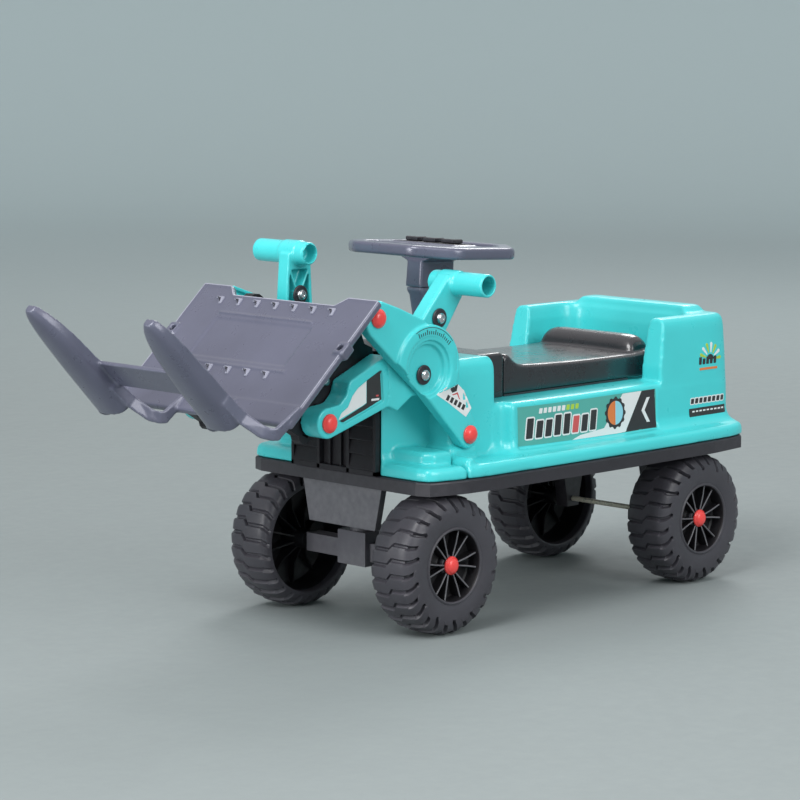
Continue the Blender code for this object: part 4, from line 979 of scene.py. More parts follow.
spokes = fillet([(-0.0240, -0.0680), (0.0190, -0.0680), (0.0225, -0.030), (0.0225, 0.030), (0.0190, 0.0680), (-0.0240, 0.0680), (-0.0275, 0.030), (-0.0275, -0.030)], 0.006, 4)
plate = loft("spokes", wheel_levels(spokes, [(WHEEL_PLANE - 0.0035, 0.002), (WHEEL_PLANE - 0.0015, 0), (WHEEL_PLANE + 0.0045, 0), (WHEEL_PLANE + 0.0062, 0.0016)]))
stem = loft(
    "stem",
    [
        column_section(0.0680, 0.0262, 0.0120, 0.003), column_section(0.0700, 0.0265, 0.0122, 0.003),
        column_section(0.0960, 0.0258, 0.0118, 0.003), column_section(0.0985, 0.0250, 0.0200),
        column_section(0.1005, 0.0246, 0.0250), column_section(WHEEL_PLANE, 0.0245, 0.0270),
    ],
)
collar = fillet([(-0.0225, -0.0480), (0.0145, -0.0480), (0.0145, 0.0480), (-0.0225, 0.0480)], 0.004, 4)
pad_rim = loft("pad_rim", wheel_levels(collar, [(WHEEL_PLANE, 0), (WHEEL_PLANE + 0.0066, 0), (WHEEL_PLANE + 0.0078, 0.0012)]))
join(ring, plate, stem, pad_rim)
hub_hole = [(-0.0190, -0.0450), (0.0110, -0.0450), (0.0110, 0.0450), (-0.0190, 0.0450)]
cut(ring, loft("pad_seat", wheel_levels(offset(hub_hole, -0.0005), [(WHEEL_PLANE + 0.0040, 0), (WHEEL_H1 + 0.02, 0)])))
soften(ring, 0.0011, 4, 0.7)
place(ring, "steering_rim", "steering", GREY, "steering_wheel", 180)

column = loft(
    "column",
    [
        column_section(0.0015, 0.0185, 0.0145), column_section(0.0030, 0.0190, 0.0150), column_section(0.0062, 0.0190, 0.0150),
        column_section(0.0085, 0.0172, 0.0130), column_section(0.0120, 0.0142, 0.0102, 0.005), column_section(0.0180, 0.0142, 0.0102, 0.005),
        column_section(0.0400, 0.0175, 0.0110, 0.005), column_section(0.0590, 0.0222, 0.0114, 0.005), column_section(0.0630, 0.0248, 0.0118),
        column_section(0.0645, 0.0252, 0.0120), column_section(0.0668, 0.0252, 0.0120), column_section(0.0675, 0.0246, 0.0114),
    ],
)
place(column, "steering_cone", "chassis", GREY, "steering_column", 40)
print("steering done", flush=True)

# ----------------------------------------------------------------- lift arms
arm_outline = fillet(
    [(0.0905, 0.3600), (0.0640, 0.3508), (0.0300, 0.3370), (-0.0100, 0.3120), (-0.0240, 0.2860), (-0.0290, 0.2640), (-0.0400, 0.2420)],
    [0, 0.01, 0.01, 0.010, 0.008, 0.008, 0], 3,
) 
arm_outline = (
    arm_outline
    + circle(PIVOT_REAR, 0.0150, 150, 325, 24)
    + [(0.0260, 0.2570), (0.0740, 0.2970)]
    + fillet([(0.0740, 0.2970), (0.1060, 0.3250), (0.1120, 0.3340), (0.1060, 0.3460), (0.0905, 0.3600)], [0, 0.006, 0.008, 0.006, 0], 4)[1:-1]
)
arm = plate_y("arm", arm_outline, ARM_Y0, ARM_Y1, 0.0022)
disc = lathe(
    "disc",
    [(0.1100, 0), (0.1100, 0.0465), (DISC_Y - 0.0022, 0.0465), (DISC_Y - 0.0006, 0.0458), (DISC_Y, 0.0440), (DISC_Y, 0.0352),
     (DISC_Y - 0.0004, 0.0342), (DISC_Y - 0.0012, 0.0336), (DISC_Y - 0.0012, 0)],
    (DISC[0], 0, DISC[1]), (0, 1, 0), 96,
)
below = [(-0.0600, 0.1840), (0.1400, 0.3540), (0.1400, 0.1000), (-0.0600, 0.1000)]
cut(
    disc,
    plate_y("below", below, 0.09, 0.14),
    plate_y("above_label", [(0.0310, 0.2510), (-0.0450, 0.2700), (-0.0450, 0.2200), (0.0310, 0.2200)], 0.09, 0.14),
)
join(arm, disc)
cut(
    arm,
    lathe("recess", [(0.1122, 0), (0.1122, 0.0244), (0.1134, 0.0256), (0.1168, 0.0266), (0.1168, 0.0300), (0.1180, 0.0308), (0.13, 0.0312), (0.13, 0)],
          (DISC[0] - 0.0012, 0, DISC[1] - 0.0010), (0, 1, 0), 80),
    plate_y("slit", fillet([(-0.0198, 0.2790), (-0.0176, 0.2790), (-0.0176, 0.2992), (-0.0198, 0.2992)], 0.0008, 3), 0.1185, 0.13),
    bore_y(*PIVOT_TILT, 0.0040, 0.09, 0.13), bore_y(*PIVOT_REAR, 0.0040, 0.09, 0.13), bore_y(*PIVOT_FORK, 0.0040, 0.09, 0.13),
)
# The inner face is hollow, with crossed ribs.
pocket = offset(arm_outline, 0.0040)
hollow = plate_y("pocket", pocket, ARM_Y0 - 0.002, ARM_Y0 + 0.0040)
for at, r in ((PIVOT_TILT, 0.031), (PIVOT_REAR, 0.0105), (PIVOT_FORK, 0.0105)):
    cut(hollow, bore_y(*at, r, 0.09, 0.13, 48))


def rib(a, b, half, y0, y1):
    p, q = Vector(a), Vector(b)
    t = (q - p).normalized()
    nrm = Vector((-t.y, t.x)) * half
    outline = [tuple(p + nrm), tuple(q + nrm), tuple(q - nrm), tuple(p - nrm)]
    return plate_y("rib", outline, y0, y1)


for a, b in (((0.060, 0.300), (0.085, 0.350)), ((0.050, 0.345), (0.100, 0.315)), ((-0.045, 0.225), (0.010, 0.245)), ((-0.035, 0.250), (0.000, 0.218))):
    cut(hollow, rib(a, b, 0.0010, ARM_Y0 - 0.01, ARM_Y0 + 0.01))
cut(arm, hollow)
soften(arm, 0.0010, 4, 0.6)
arm_right = mirrored(arm, "right")
place(arm, "arm_shell_left", "lift_arms", TEAL, "lift_arm_left", 180)
place(arm_right, "arm_shell_right", "lift_arms", TEAL, "lift_arm_right", 180)
print("arms done", len(arm.data.polygons), flush=True)

# ---------------------------------------------------------------- tilt levers
link_outline = (
    circle(PIVOT_LINK, 0.0160, 95, -105, 30)
    + fillet([(0.14, 0.2225), (0.0650, 0.2470), (0.0520, 0.2410), (0.0310, 0.2540), (0.01, 0.26)], [0, 0.002, 0.003, 0.006, 0], 3)[1:-1]
    + circle(PIVOT_TILT, 0.0225, 250, 110, 20)
    + fillet([(0.0300, 0.31), (0.0500, 0.3060), (0.0690, 0.3000), (0.1215, 0.2780), (0.1262, 0.2640), (0.1360, 0.2555), (0.15, 0.2539)],
             [0, 0.006, 0.008, 0.008, 0.007, 0.007, 0], 5)[1:-1]
)
link = plate_y("link", link_outline, LINK_Y0, LINK_Y1, 0.0018)
thick = (
    circle(PIVOT_LINK, 0.0160, 95, -105, 30)
    + [(0.0660, 0.2470), (0.0660, 0.3010), (0.0690, 0.3000)]
    + fillet([(0.0690, 0.3000), (0.1215, 0.2780), (0.1262, 0.2640), (0.1360, 0.2555), (0.15, 0.2539)], [0, 0.008, 0.007, 0.007, 0], 5)[1:-1]
)
join(link, plate_y("thick", offset(thick, 0.0002), LINK_BACK, LINK_Y0 + 0.002))
# A recess for the label inside a raised rim, a step round the low lobe, and the groove beside the sector.
label_zone = fillet(
    [(0.1378, 0.2392), (0.1330, 0.2468), (0.1232, 0.2524), (0.1172, 0.2630), (0.1090, 0.2705), (0.0950, 0.2778), (0.0745, 0.2870), (0.0735, 0.2700), (0.0722, 0.2535), (0.0950, 0.2458), (0.1290, 0.2348)],
    [0.002, 0.004, 0.004, 0.004, 0.004, 0.004, 0.003, 0.0, 0.003, 0.004, 0.002], 4,
)
cut(
    link,
    plate_y("zone", label_zone, LINK_Y1 - 0.0030, LINK_Y1 + 0.01),
    bore_y(*PIVOT_TILT, 0.0040, 0.06, 0.13), bore_y(*PIVOT_LINK, 0.0040, 0.06, 0.13),
)
groove = circle((0.1300, 0.2700), 0.0650, 160, 199, 12) + circle((0.1300, 0.2700), 0.0668, 199, 160, 12)
cut(link, plate_y("groove", groove, LINK_Y1 - 0.0020, LINK_Y1 + 0.01))
soften(link, 0.0010, 3, 0.65)
link_right = mirrored(link, "right")
place(link, "lever_shell_left", "tilt_lever", TEAL, "tilt_lever_left", 180)
place(link_right, "lever_shell_right", "tilt_lever", TEAL, "tilt_lever_right", 180)
print("levers done", flush=True)


# ------------------------------------------------------------------- handles
def along(angle, d, side=0.0):
    c, s = math.cos(angle), math.sin(angle)
    return (PIVOT_TILT[0] + d * c - side * s, PIVOT_TILT[1] + d * s + side * c)


def t_handle(angle):
    deg = math.degrees(angle)
    outline = circle(PIVOT_TILT, 0.0215, deg + 90, deg + 270, 24) + [
        along(angle, 0.0700, -0.0190), along(angle, HANDLE_LENGTH, -0.0160),
        along(angle, HANDLE_LENGTH, 0.0160), along(angle, 0.0700, 0.0190),
    ]
    levels = [(HANDLE_Y0, 0.0), (HANDLE_Y1 - 0.0030, 0.0), (HANDLE_Y1 - 0.0014, 0.0006), (HANDLE_Y1 - 0.0004, 0.0017), (HANDLE_Y1, 0.0032)]
    lever = loft("lever", [[(x, y, z) for x, z in offset(outline, d)] for y, d in levels])
    gx, gz = along(angle, HANDLE_LENGTH)
    join(
        lever,
        lathe("tube", [(GRIP_Y0, 0), (GRIP_Y0, GRIP_R - 0.002), (GRIP_Y0 + 0.002, GRIP_R), (GRIP_Y1 - 0.0015, GRIP_R), (GRIP_Y1, GRIP_R - 0.0015), (GRIP_Y1, 0)],
              (gx, 0, gz), (0, 1, 0), 48),
        lathe("collar", [(HANDLE_Y0 - 0.0025, 0), (HANDLE_Y0 - 0.0025, GRIP_R + 0.0012), (HANDLE_Y1 + 0.0030, GRIP_R + 0.0012), (HANDLE_Y1 + 0.0042, GRIP_R), (HANDLE_Y1 + 0.0042, 0)],
              (gx, 0, gz), (0, 1, 0), 48),
    )
    # Inner side: a frame with crossed ribs over a hollow.
    frame_line = [along(angle, 0.0300, -0.0165), along(angle, 0.0980, -0.0138), along(angle, 0.0980, 0.0138), along(angle, 0.0300, 0.0165)]
    hollow = plate_y("pocket", frame_line, HANDLE_Y0 - 0.002, HANDLE_Y1 - 0.0050)
    cut(
        hollow,
        rib(frame_line[0], frame_line[2], 0.0011, HANDLE_Y0 - 0.004, HANDLE_Y1),
        rib(frame_line[1], frame_line[3], 0.0011, HANDLE_Y0 - 0.004, HANDLE_Y1),
        bore_y(*along(angle, 0.0705), 0.0078, 0.05, 0.10, 32),
    )
    cut(
        lever,
        hollow,
        bore_y(gx, gz, GRIP_R - 0.0026, HANDLE_Y1 + 0.002, 0.15, 40),
        bore_y(gx, gz, GRIP_R - 0.0026, 0.05, HANDLE_Y0 - 0.001, 40),
        bore_y(*PIVOT_TILT, 0.0038, 0.05, 0.1),
        bore_y(*along(angle, 0.0705), 0.0038, 0.05, 0.1),
    )
    soften(lever, 0.0010, 4, 0.7)
    return lever


place(t_handle(HANDLE_ANGLE_L), "handle_shell_left", "tilt_lever", TEAL, "tilt_handle_left", 180)
other = t_handle(HANDLE_ANGLE_R)
handle_right = mirrored(other, "right")
bpy.data.objects.remove(other, do_unlink=True)
place(handle_right, "handle_shell_right", "lift_arms", TEAL, "lift_handle_right", 180)
print("handles done", flush=True)

# ---------------------------------------------------------------------- fork
pd = Vector((math.cos(FORK_SLOPE), math.sin(FORK_SLOPE)))
pn = Vector((-pd.y, pd.x))
vd = Vector((math.cos(PRONG_SLOPE), math.sin(PRONG_SLOPE)))
vn = Vector((vd.y, -vd.x))
HEEL = Vector(FORK_TOP) + pd * FORK_LENGTH


def on_panel(u, y, out=0.0):
    p = Vector(FORK_TOP) + pd * u + pn * out
    return (p.x, y, p.y)


def on_prong(v, y, under=0.0):
    p = HEEL + vd * v + vn * under
    return (p.x, y, p.y)


def on_panel_plate(name, outline, levels):
    return loft(name, [[on_panel(u, y, o) for u, y in offset(outline, d)] for o, d in levels])


panel_outline = fillet([
    (0.0, -FORK_W), (0.0, -0.0880), (0.0120, -0.0760), (0.0120, 0.0760), (0.0, 0.0880), (0.0, FORK_W),
    (PANEL_END, FORK_W), (PANEL_END, -FORK_W),
], [0.003, 0.002, 0.003, 0.003, 0.002, 0.003, 0.002, 0.002], 3)
fork = on_panel_plate("panel", panel_outline, [(-FORK_T, 0.0012), (-FORK_T + 0.0012, 0), (-0.0012, 0), (0.0, 0.0012)])


def prong_section(v, mid, half, wall, depth, bed, s):
    t = min(PRONG_WALL, 0.45 * half)
    points = [on_prong(v, s * (mid + half), -wall)]
    for k in range(0, 17):
        a = math.pi * k / 16
        c = math.cos(a)
        points.append(on_prong(v, s * (mid + half * math.copysign(abs(c) ** 0.82, c)), depth * math.sin(a) ** 0.86))
    points += [
        on_prong(v, s * (mid - half), -wall), on_prong(v, s * (mid - half + t), -wall),
        on_prong(v, s * (mid - half + t), bed), on_prong(v, s * (mid + half - t), bed),
        on_prong(v, s * (mid + half - t), -wall),
    ]
    return points


def blend_rows(rows, per):
    """Rows of numbers with smooth steps between them."""
    a = np.array(rows, float)
    ext = np.vstack([2 * a[0] - a[1], a, 2 * a[-1] - a[-2]])
    out = []
    for i in range(1, len(ext) - 2):
        p0, p1, p2, p3 = ext[i - 1 : i + 3]
        for k in range(per):
            t = k / per
            out.append(tuple(0.5 * (2 * p1 + (p2 - p0) * t + (2 * p0 - 5 * p1 + 4 * p2 - p3) * t**2 + (3 * p1 - p0 - 3 * p2 + p3) * t**3)))
    out.append(tuple(a[-1]))
    return out


strip_outline = [(0.0570, -0.0640), (0.0570, 0.0640), (0.0905, 0.0640), (0.0905, -0.0640)]
join(fork, loft("strip", [[on_prong(v, y, d) for v, y in strip_outline] for d in (-0.0110, -0.0065)]))
for s in (1, -1):
    rows = blend_rows([
        (0.0300, 0.0840, 0.0240, 0.0115, 0.0130, 0.0),
        (0.0900, 0.0846, 0.0222, 0.0100, 0.0125, 0.0),
        (0.1300, 0.0858, 0.0196, 0.0085, 0.0112, 0.0),
        (0.1500, 0.0874, 0.0170, 0.0074, 0.0098, -0.0010),
        (0.1650, 0.0890, 0.0134, 0.0060, 0.0080, -0.0036),
        (0.1740, 0.0902, 0.0092, 0.0050, 0.0062, -0.0042),
        (PRONG_LENGTH, 0.0905, 0.0056, 0.0040, 0.0045, -0.0037),
    ], 3)
    join(fork, loft("prong", [prong_section(*row, s) for row in rows]))
    for e in (1, -1):
        line = [
            (on_prong(0.0620, 0, 0.0030), on_prong(0.0620, 0, -0.0100), 0.0222),
            (on_prong(0.0340, 0, 0.0030), on_prong(0.0340, 0, -0.0110), 0.0270),
            (on_prong(0.0110, 0, 0.0005), on_prong(0.0170, 0, -0.0120), 0.0380),
            (on_prong(0.0010, 0, -0.0050), on_prong(0.0110, 0, -0.0140), 0.0430),
            (on_panel(0.1900, 0, -0.0040), on_panel(0.1830, 0, 0.0080), 0.0450),
            (on_panel(0.1500, 0, -0.0070), on_panel(0.1500, 0, 0.0020), 0.0460),
        ]
        sections = []
        for low_point, high_point, aside in line:
            y = PRONG_MID + e * aside
            (x0, _, z0), (x1, _, z1) = low_point, high_point
            sections.append([(x0, s * (y - 0.0020), z0), (x0, s * (y + 0.0020), z0), (x1, s * (y + 0.0020), z1), (x1, s * (y - 0.0020), z1)])
        join(fork, loft("web", sections))
# Panel relief: a raised rim, a sunk field with a bevelled border, a ridge above and below it, and clips at the edges.
cut(fork, on_panel_plate("face", offset([(0.0, -FORK_W), (0.0, -0.0880), (0.0120, -0.0760), (0.0120, 0.0760), (0.0, 0.0880), (0.0, FORK_W),
                                         (0.1500, FORK_W), (0.1500, -FORK_W)], 0.0026), [(-0.0008, 0.0006), (0.004, 0.0)]))
field = [(0.0430, -0.0800), (0.0430, 0.0700), (0.1010, 0.0700), (0.1010, -0.0800)]
cut(fork, on_panel_plate("field", field, [(-0.0022, 0.0030), (0.0006, 0.0)]))
for u, y0, y1 in ((0.0385, -0.0780, 0.0640), (0.1065, -0.0780, 0.0760)):
    join(fork, on_panel_plate("ridge", [(u - 0.0013, y0), (u - 0.0013, y1), (u + 0.0013, y1), (u + 0.0013, y0)], [(-0.003, 0), (-0.0002, 0), (0.0008, 0.0007)]))
for s in (1, -1):
    join(fork, on_panel_plate("clip", [(0.0600, s * 0.1215), (0.0600, s * 0.1355), (0.0760, s * 0.1355), (0.0760, s * 0.1215)], [(-0.0100, 0), (0.0012, 0), (0.0022, 0.001)]))
    cut(fork, on_panel_plate("clip_slot", [(0.0645, s * 0.1235), (0.0645, s * 0.1305), (0.0715, s * 0.1305), (0.0715, s * 0.1235)], [(-0.02, 0), (0.01, 0)]))
soften(fork, 0.0014, 4, 0.55)
place(fork, "fork_shell", "fork", GREY, "fork", 180)
print("fork done", len(fork.data.polygons), flush=True)

# The edge bead is lighter than the panel: a painted highlight along the raised border.
bead_line = fillet([
    (0.1480, FORK_W), (0.0, FORK_W), (0.0, 0.0880), (0.0120, 0.0760), (0.0120, -0.0760), (0.0, -0.0880), (0.0, -FORK_W), (0.1480, -FORK_W),
], [0, 0.003, 0.002, 0.003, 0.003, 0.002, 0.003, 0], 3)
bead_closed = bead_line + [(0.30, -FORK_W), (0.30, FORK_W)]
bead_out, bead_in = offset(bead_closed, 0.0010), offset(bead_closed, 0.0021)
bead = loft("bead", [
    [on_panel_point for on_panel_point in (
        on_panel(*bead_out[i], -0.0012), on_panel(*bead_out[i], 0.0000), on_panel(*bead_in[i], 0.0001), on_panel(*bead_in[i], -0.0012))]
    for i in range(len(bead_line))
])
place(bead, "fork_edge_bead", "fork", HIGHLIGHT_GREY, (), 40)

# The dash marks take the lighter grey: painted highlight on the raised chevrons.
marks = []
for u, ys in ((0.0200, [-0.0920 + 0.0282 * k for k in range(7)]), (0.1115, [-0.0640 + 0.0285 * k for k in range(5)])):
    for y in ys:
        dash = fillet([(u - 0.0030, y - 0.0062), (u + 0.0000, y - 0.0062), (u + 0.0000, y + 0.0010), (u + 0.0075, y + 0.0024), (u + 0.0068, y + 0.0058), (u - 0.0030, y + 0.0052)],
                      [0.0010, 0.0008, 0.0006, 0.0008, 0.0010, 0.0010], 3)
        marks.append(on_panel_plate("dash", dash, [(-0.0022, 0), (0.0000, 0), (0.0006, 0.0003), (0.0010, 0.0009)]))
place(gather("marks", *marks), "fork_dashes", "fork", HIGHLIGHT_GREY, (), 50)


# --------------------------------------------------- caps, washers and bolts
def dome(at, face, s, name, node, body_name):
    cap = lathe("cap", [(face, 0)] + [(face + max(0.0, h), r) for h, r in CAP_DOME[1:]], (at[0], 0, at[1]), (0, s, 0), 36)
    place(cap, name, body_name, RED, node, 50)


for label, s in (("left", 1), ("right", -1)):
    dome(PIVOT_REAR, ARM_Y1 + 0.0003, s, "cap_lift_" + label, "lift_pivot_cap_" + label, "chassis")
    dome(PIVOT_FORK, ARM_Y1 + 0.0003, s, "cap_fork_" + label, "fork_pivot_cap_" + label, "lift_arms")
    dome(PIVOT_LINK, LINK_Y1 + 0.0003, s, "cap_link_" + label, "link_pivot_cap_" + label, "tilt_lever")


def washer_piece(at, y0, y1, name, node, body_name):
    lo, hi = min(y0, y1), max(y0, y1)
    ring_ = lathe(
        "washer",
        [(lo, 0.0034), (hi, 0.0034), (hi + 0.0003, 0.0062), (hi, 0.0080), (hi, 0.0096), (hi - 0.0006, 0.0104), (lo + 0.0006, 0.0105), (lo, 0.0100)],
        (at[0], 0, at[1]), (0, 1, 0), 40, closed=True,
    )
    place(ring_, name, body_name, SATIN, node, 40)


def bolt_piece(at, y_head, y_end, name, node, body_name):
    s = 1 if y_head > y_end else -1
    length = abs(y_head - y_end)
    head = lathe(
        "bolt",
        [(0.0006, 0), (0.0006, 0.0016), (0, 0.0020), (0.0001, 0.0034), (0.0009, 0.0050), (0.0019, 0.0057), (0.0034, 0.0058), (0.0037, 0.0054), (0.0037, 0.0030), (length, 0.0030), (length, 0)],
        (at[0], y_head, at[1]), (0, -s, 0), 36,
    )
    place(head, name, body_name, STEEL, node, 35)


grip_l, grip_r = along(HANDLE_ANGLE_L, 0.0705), along(HANDLE_ANGLE_R, 0.0705)
for label, s in (("left", 1), ("right", -1)):
    washer_piece(PIVOT_TILT, s * 0.1128, s * 0.1148, "washer_tilt_" + label, "tilt_washer_" + label, "lift_arms")
    bolt_piece(PIVOT_TILT, s * 0.1186, s * HANDLE_Y0, "bolt_tilt_" + label, "tilt_bolt_" + label, "lift_arms")
washer_piece(grip_l, HANDLE_Y1 + 0.0003, HANDLE_Y1 + 0.0023, "washer_handle_left", "handle_washer_left", "tilt_lever")
bolt_piece(grip_l, HANDLE_Y1 + 0.0061, HANDLE_Y0, "bolt_handle_left", "handle_bolt_left", "tilt_lever")
washer_piece(grip_r, -HANDLE_Y0 + 0.0003, -HANDLE_Y0 + 0.0023, "washer_handle_right", "handle_washer_right", "lift_arms")
bolt_piece(grip_r, -HANDLE_Y0 + 0.0061, -HANDLE_Y1, "bolt_handle_right", "handle_bolt_right", "lift_arms")
for label, s in (("left", 1), ("right", -1)):
    stud = lathe("stud", [(0.0755, 0), (0.0755, 0.0046), (0.0775, 0.0046), (0.0790, 0.0038), (0.0798, 0.0020), (0.0800, 0)],
                 (0.1301, 0, 0.2765), (0, s, 0), 28)
    place(stud, "bracket_stud_" + label, "fork", STEEL, (), 35)

# --------------------------------------------------- kept nodes: finer finish
KEPT = {
    "base_plate": SATIN, "hood_cover": COAL, "chin_plate": MID, "kingpin_socket": SATIN, "storage_bin": SATIN,
    "seat_hinge_pin": STEEL, "rear_axle_rod": ROD, "axle_bracket_left": SATIN, "axle_bracket_right": SATIN,
    "lift_pivot_rod": STEEL, "steering_rod": STEEL, "horn_panel": SATIN, "horn_button_left": BLACK,
    "horn_button_middle": BLACK, "horn_button_right": BLACK, "front_axle_beam": MID, "kingpin": STEEL,
    "front_axle_rod": STEEL, "fork_pivot_rod": STEEL, "link_pivot_rod": STEEL,
    "fork_bracket_left": COAL, "fork_bracket_right": COAL,
}
for name, mat in KEPT.items():
    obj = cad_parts[name]
    for slot_ in obj.material_slots:
        slot_.material = mat
    if not obj.material_slots:
        obj.data.materials.append(mat)
    if name not in ("seat_hinge_pin", "rear_axle_rod", "lift_pivot_rod", "steering_rod", "kingpin", "front_axle_rod", "fork_pivot_rod", "link_pivot_rod"):
        bevel = obj.modifiers.new("round", "BEVEL")
        bevel.width = 0.0009
        bevel.segments = 3
        bevel.limit_method = "ANGLE"
        bevel.angle_limit = math.radians(35)
        bevel.harden_normals = False

# ------------------------------------------------------------------ stickers
def sticker(name, host, body_name, s, patches, default_y, grid=0.0045):
    """A thin printed sheet pressed onto the host's side: each patch is (outline in x and z, material index, lift)."""
    tree = BVHTree.FromObject(host, bpy.context.evaluated_depsgraph_get())
    made = bmesh.new()
    for outline, index, lift in patches:
        flat = bmesh.new()
        face = flat.faces.new([flat.verts.new((x, 0.0, z)) for x, z in outline])
        xs, zs = [p[0] for p in outline], [p[1] for p in outline]
        for k in range(1, int((max(xs) - min(xs)) / grid) + 1):
            geom = flat.verts[:] + flat.edges[:] + flat.faces[:]
            bmesh.ops.bisect_plane(flat, geom=geom, dist=1e-7, plane_co=(min(xs) + k * grid, 0, 0), plane_no=(1, 0, 0))
        for k in range(1, int((max(zs) - min(zs)) / grid) + 1):
            geom = flat.verts[:] + flat.edges[:] + flat.faces[:]
            bmesh.ops.bisect_plane(flat, geom=geom, dist=1e-7, plane_co=(0, 0, min(zs) + k * grid), plane_no=(0, 0, 1))
        bmesh.ops.remove_doubles(flat, verts=flat.verts, dist=1e-6)
        top, bottom = {}, {}
        for vert in flat.verts:
            x, z = vert.co.x, vert.co.z
            hit = tree.ray_cast(Vector((x + OX, s * 0.2, z)), Vector((0, -s, 0)))[0]
            y = abs(hit.y) if hit is not None and abs(abs(hit.y) - default_y) < 0.004 else default_y
            top[vert] = made.verts.new((x, s * (y + lift), z))
            bottom[vert] = made.verts.new((x, s * (y - 0.0004), z))
        new = []
        for face in flat.faces:
            new.append(made.faces.new([top[v] for v in face.verts]))
            new.append(made.faces.new([bottom[v] for v in reversed(face.verts)]))
        for edge in flat.edges:
            if len(edge.link_faces) == 1:
                a, b = edge.verts
                new.append(made.faces.new((top[a], top[b], bottom[b], bottom[a])))
        for face in new:
            face.material_index = index
        bmesh.ops.recalc_face_normals(made, faces=new)
        flat.free()
    sheet = mesh_object(name, made, recalc=False)
    place(sheet, name, body_name, [TEAL_INK, WHITE_INK, BLACK_INK, ORANGE_INK, SKY_INK, LIME_INK, RED_INK], (), 30)
    return sheet


T, W, K, O, S, L, R = range(7)


def bar(x0, x1, z0, z1, slant=0.0, r=0.0):
    pts = [(x0, z0), (x1, z0), (x1 + slant, z1), (x0 + slant, z1)]
    return fillet(pts, r, 3) if r else pts


def grown(points, d):
    return offset(points, -d)


def side_print():
    out = [([(-0.1185, 0.1875), (-0.1185, 0.2300), (-0.3490, 0.2300), (-0.3490, 0.1858), (-0.2900, 0.1858)], T, 0.00015)]
    out.append(([(-0.2905, 0.2296), (-0.3240, 0.2296), (-0.2945, 0.1861), (-0.2032, 0.1866), (-0.2164, 0.1906), (-0.2572, 0.1942)], W, 0.00025))
    out.append(([(-0.3243, 0.2296), (-0.3474, 0.2296), (-0.3488, 0.1861), (-0.2948, 0.1861)], K, 0.00030))
    # A plain white chevron on the black field.
    out.append(([(-0.3330, 0.2215), (-0.3385, 0.2215), (-0.3290, 0.2075), (-0.3385, 0.1935), (-0.3330, 0.1935), (-0.3235, 0.2075)], W, 0.00042))
    cx, cz = -0.2770, 0.2094
    wheel = []
    for k in range(48):
        a = 2 * math.pi * k / 48
        rr = 0.0182 if k % 4 in (0, 1) else 0.0163
        wheel.append((cx + rr * math.cos(a), cz + rr * math.sin(a)))
    out.append((wheel, K, 0.00036))
    out.append((circle((cx, cz), 0.0134, -90, 90, 20), O, 0.00046))
    out.append((circle((cx, cz), 0.0134, 90, 270, 20), S, 0.00046))
    # Slanted bars in place of a word, and a row of small ones above.
    for k in range(8):
        x1 = -0.1300 - 0.0146 * k
        top = 0.2165 if k in (0, 3, 4, 7) else 0.2128
        shape = bar(x1 - 0.0098, x1, 0.1945, top, -0.0030, 0.0012)
        out.append((grown(shape, 0.0017), W, 0.00028))
        out.append((shape, R if k == 5 else K, 0.00040))
    for k in range(9):
        x1 = -0.1500 - 0.0073 * k
        out.append((bar(x1 - 0.0050, x1, 0.2205, 0.2262, -0.0012, 0.0008), L if k > 5 else W, 0.00040))
    return out


def wing_print():
    out = []
    cx, cz = -0.4500, 0.2550
    for k in range(7):
        a = math.radians(20 + 26 * k)
        c, t = Vector((math.cos(a), math.sin(a))), Vector((-math.sin(a), math.cos(a)))
        q = Vector((cx, cz))
        out.append(([tuple(q + c * 0.0080 - t * 0.0007), tuple(q + c * 0.0185 - t * 0.0020), tuple(q + c * 0.0200), tuple(q + c * 0.0185 + t * 0.0020), tuple(q + c * 0.0080 + t * 0.0007)],
                    W if k % 2 else L, 0.00030))
    out.append((circle((cx, cz), 0.0060, 0, 180, 12), K, 0.00032))
    for k in range(5):
        out.append((bar(-0.4290 - 0.0066 * k - 0.0046, -0.4290 - 0.0066 * k, 0.2500, 0.2565 if k % 2 else 0.2585, -0.001, 0.0008), K, 0.00032))
    out.append((bar(-0.4620, -0.4300, 0.2435, 0.2462, 0, 0.0006), O, 0.00032))
    for k in range(8):
        shape = bar(-0.4120 - 0.0078 * k - 0.0056, -0.4120 - 0.0078 * k, 0.2062, 0.2120, -0.001, 0.0008)
        out.append((grown(shape, 0.0012), W, 0.00025))
        out.append((shape, K, 0.00036))
    out.append((bar(-0.4760, -0.4090, 0.1915, 0.2008, 0, 0.0008), K, 0.00028))
    for k in range(9):
        out.append((bar(-0.4140 - 0.0067 * k - 0.0044, -0.4140 - 0.0067 * k, 0.1943, 0.1980, -0.0008, 0.0006), W, 0.00038))
    return out


def arm_print():
    white = [(0.0085, 0.2556), (-0.0029, 0.2630), (-0.0116, 0.2608), (-0.0235, 0.2640), (-0.0325, 0.2570), (-0.0445, 0.2367), (-0.0360, 0.2280), (-0.0074, 0.2465)]
    out = [(white, W, 0.00025)]
    out.append(([(-0.0110, 0.2604), (-0.0235, 0.2640), (-0.0215, 0.2570), (-0.0150, 0.2556)], K, 0.00036))
    p, d = Vector((-0.0035, 0.2500)), Vector((-0.0385, -0.0195)).normalized()
    n = Vector((-d.y, d.x)) * -1
    for k in range(5):
        q = p + d * (0.0066 * k + 0.0016)
        out.append(([tuple(q), tuple(q + d * 0.0042), tuple(q + d * 0.0048 + n * 0.0060), tuple(q + d * 0.0006 + n * 0.0060)], K, 0.00036))
    q = p + d * 0.0150 + n * 0.0082
    out.append(([tuple(q - d * 0.0070), tuple(q - d * 0.0052), tuple(q + n * 0.0034), tuple(q + d * 0.0052), tuple(q + d * 0.0070), tuple(q + n * 0.0056)], R, 0.00036))
    return out


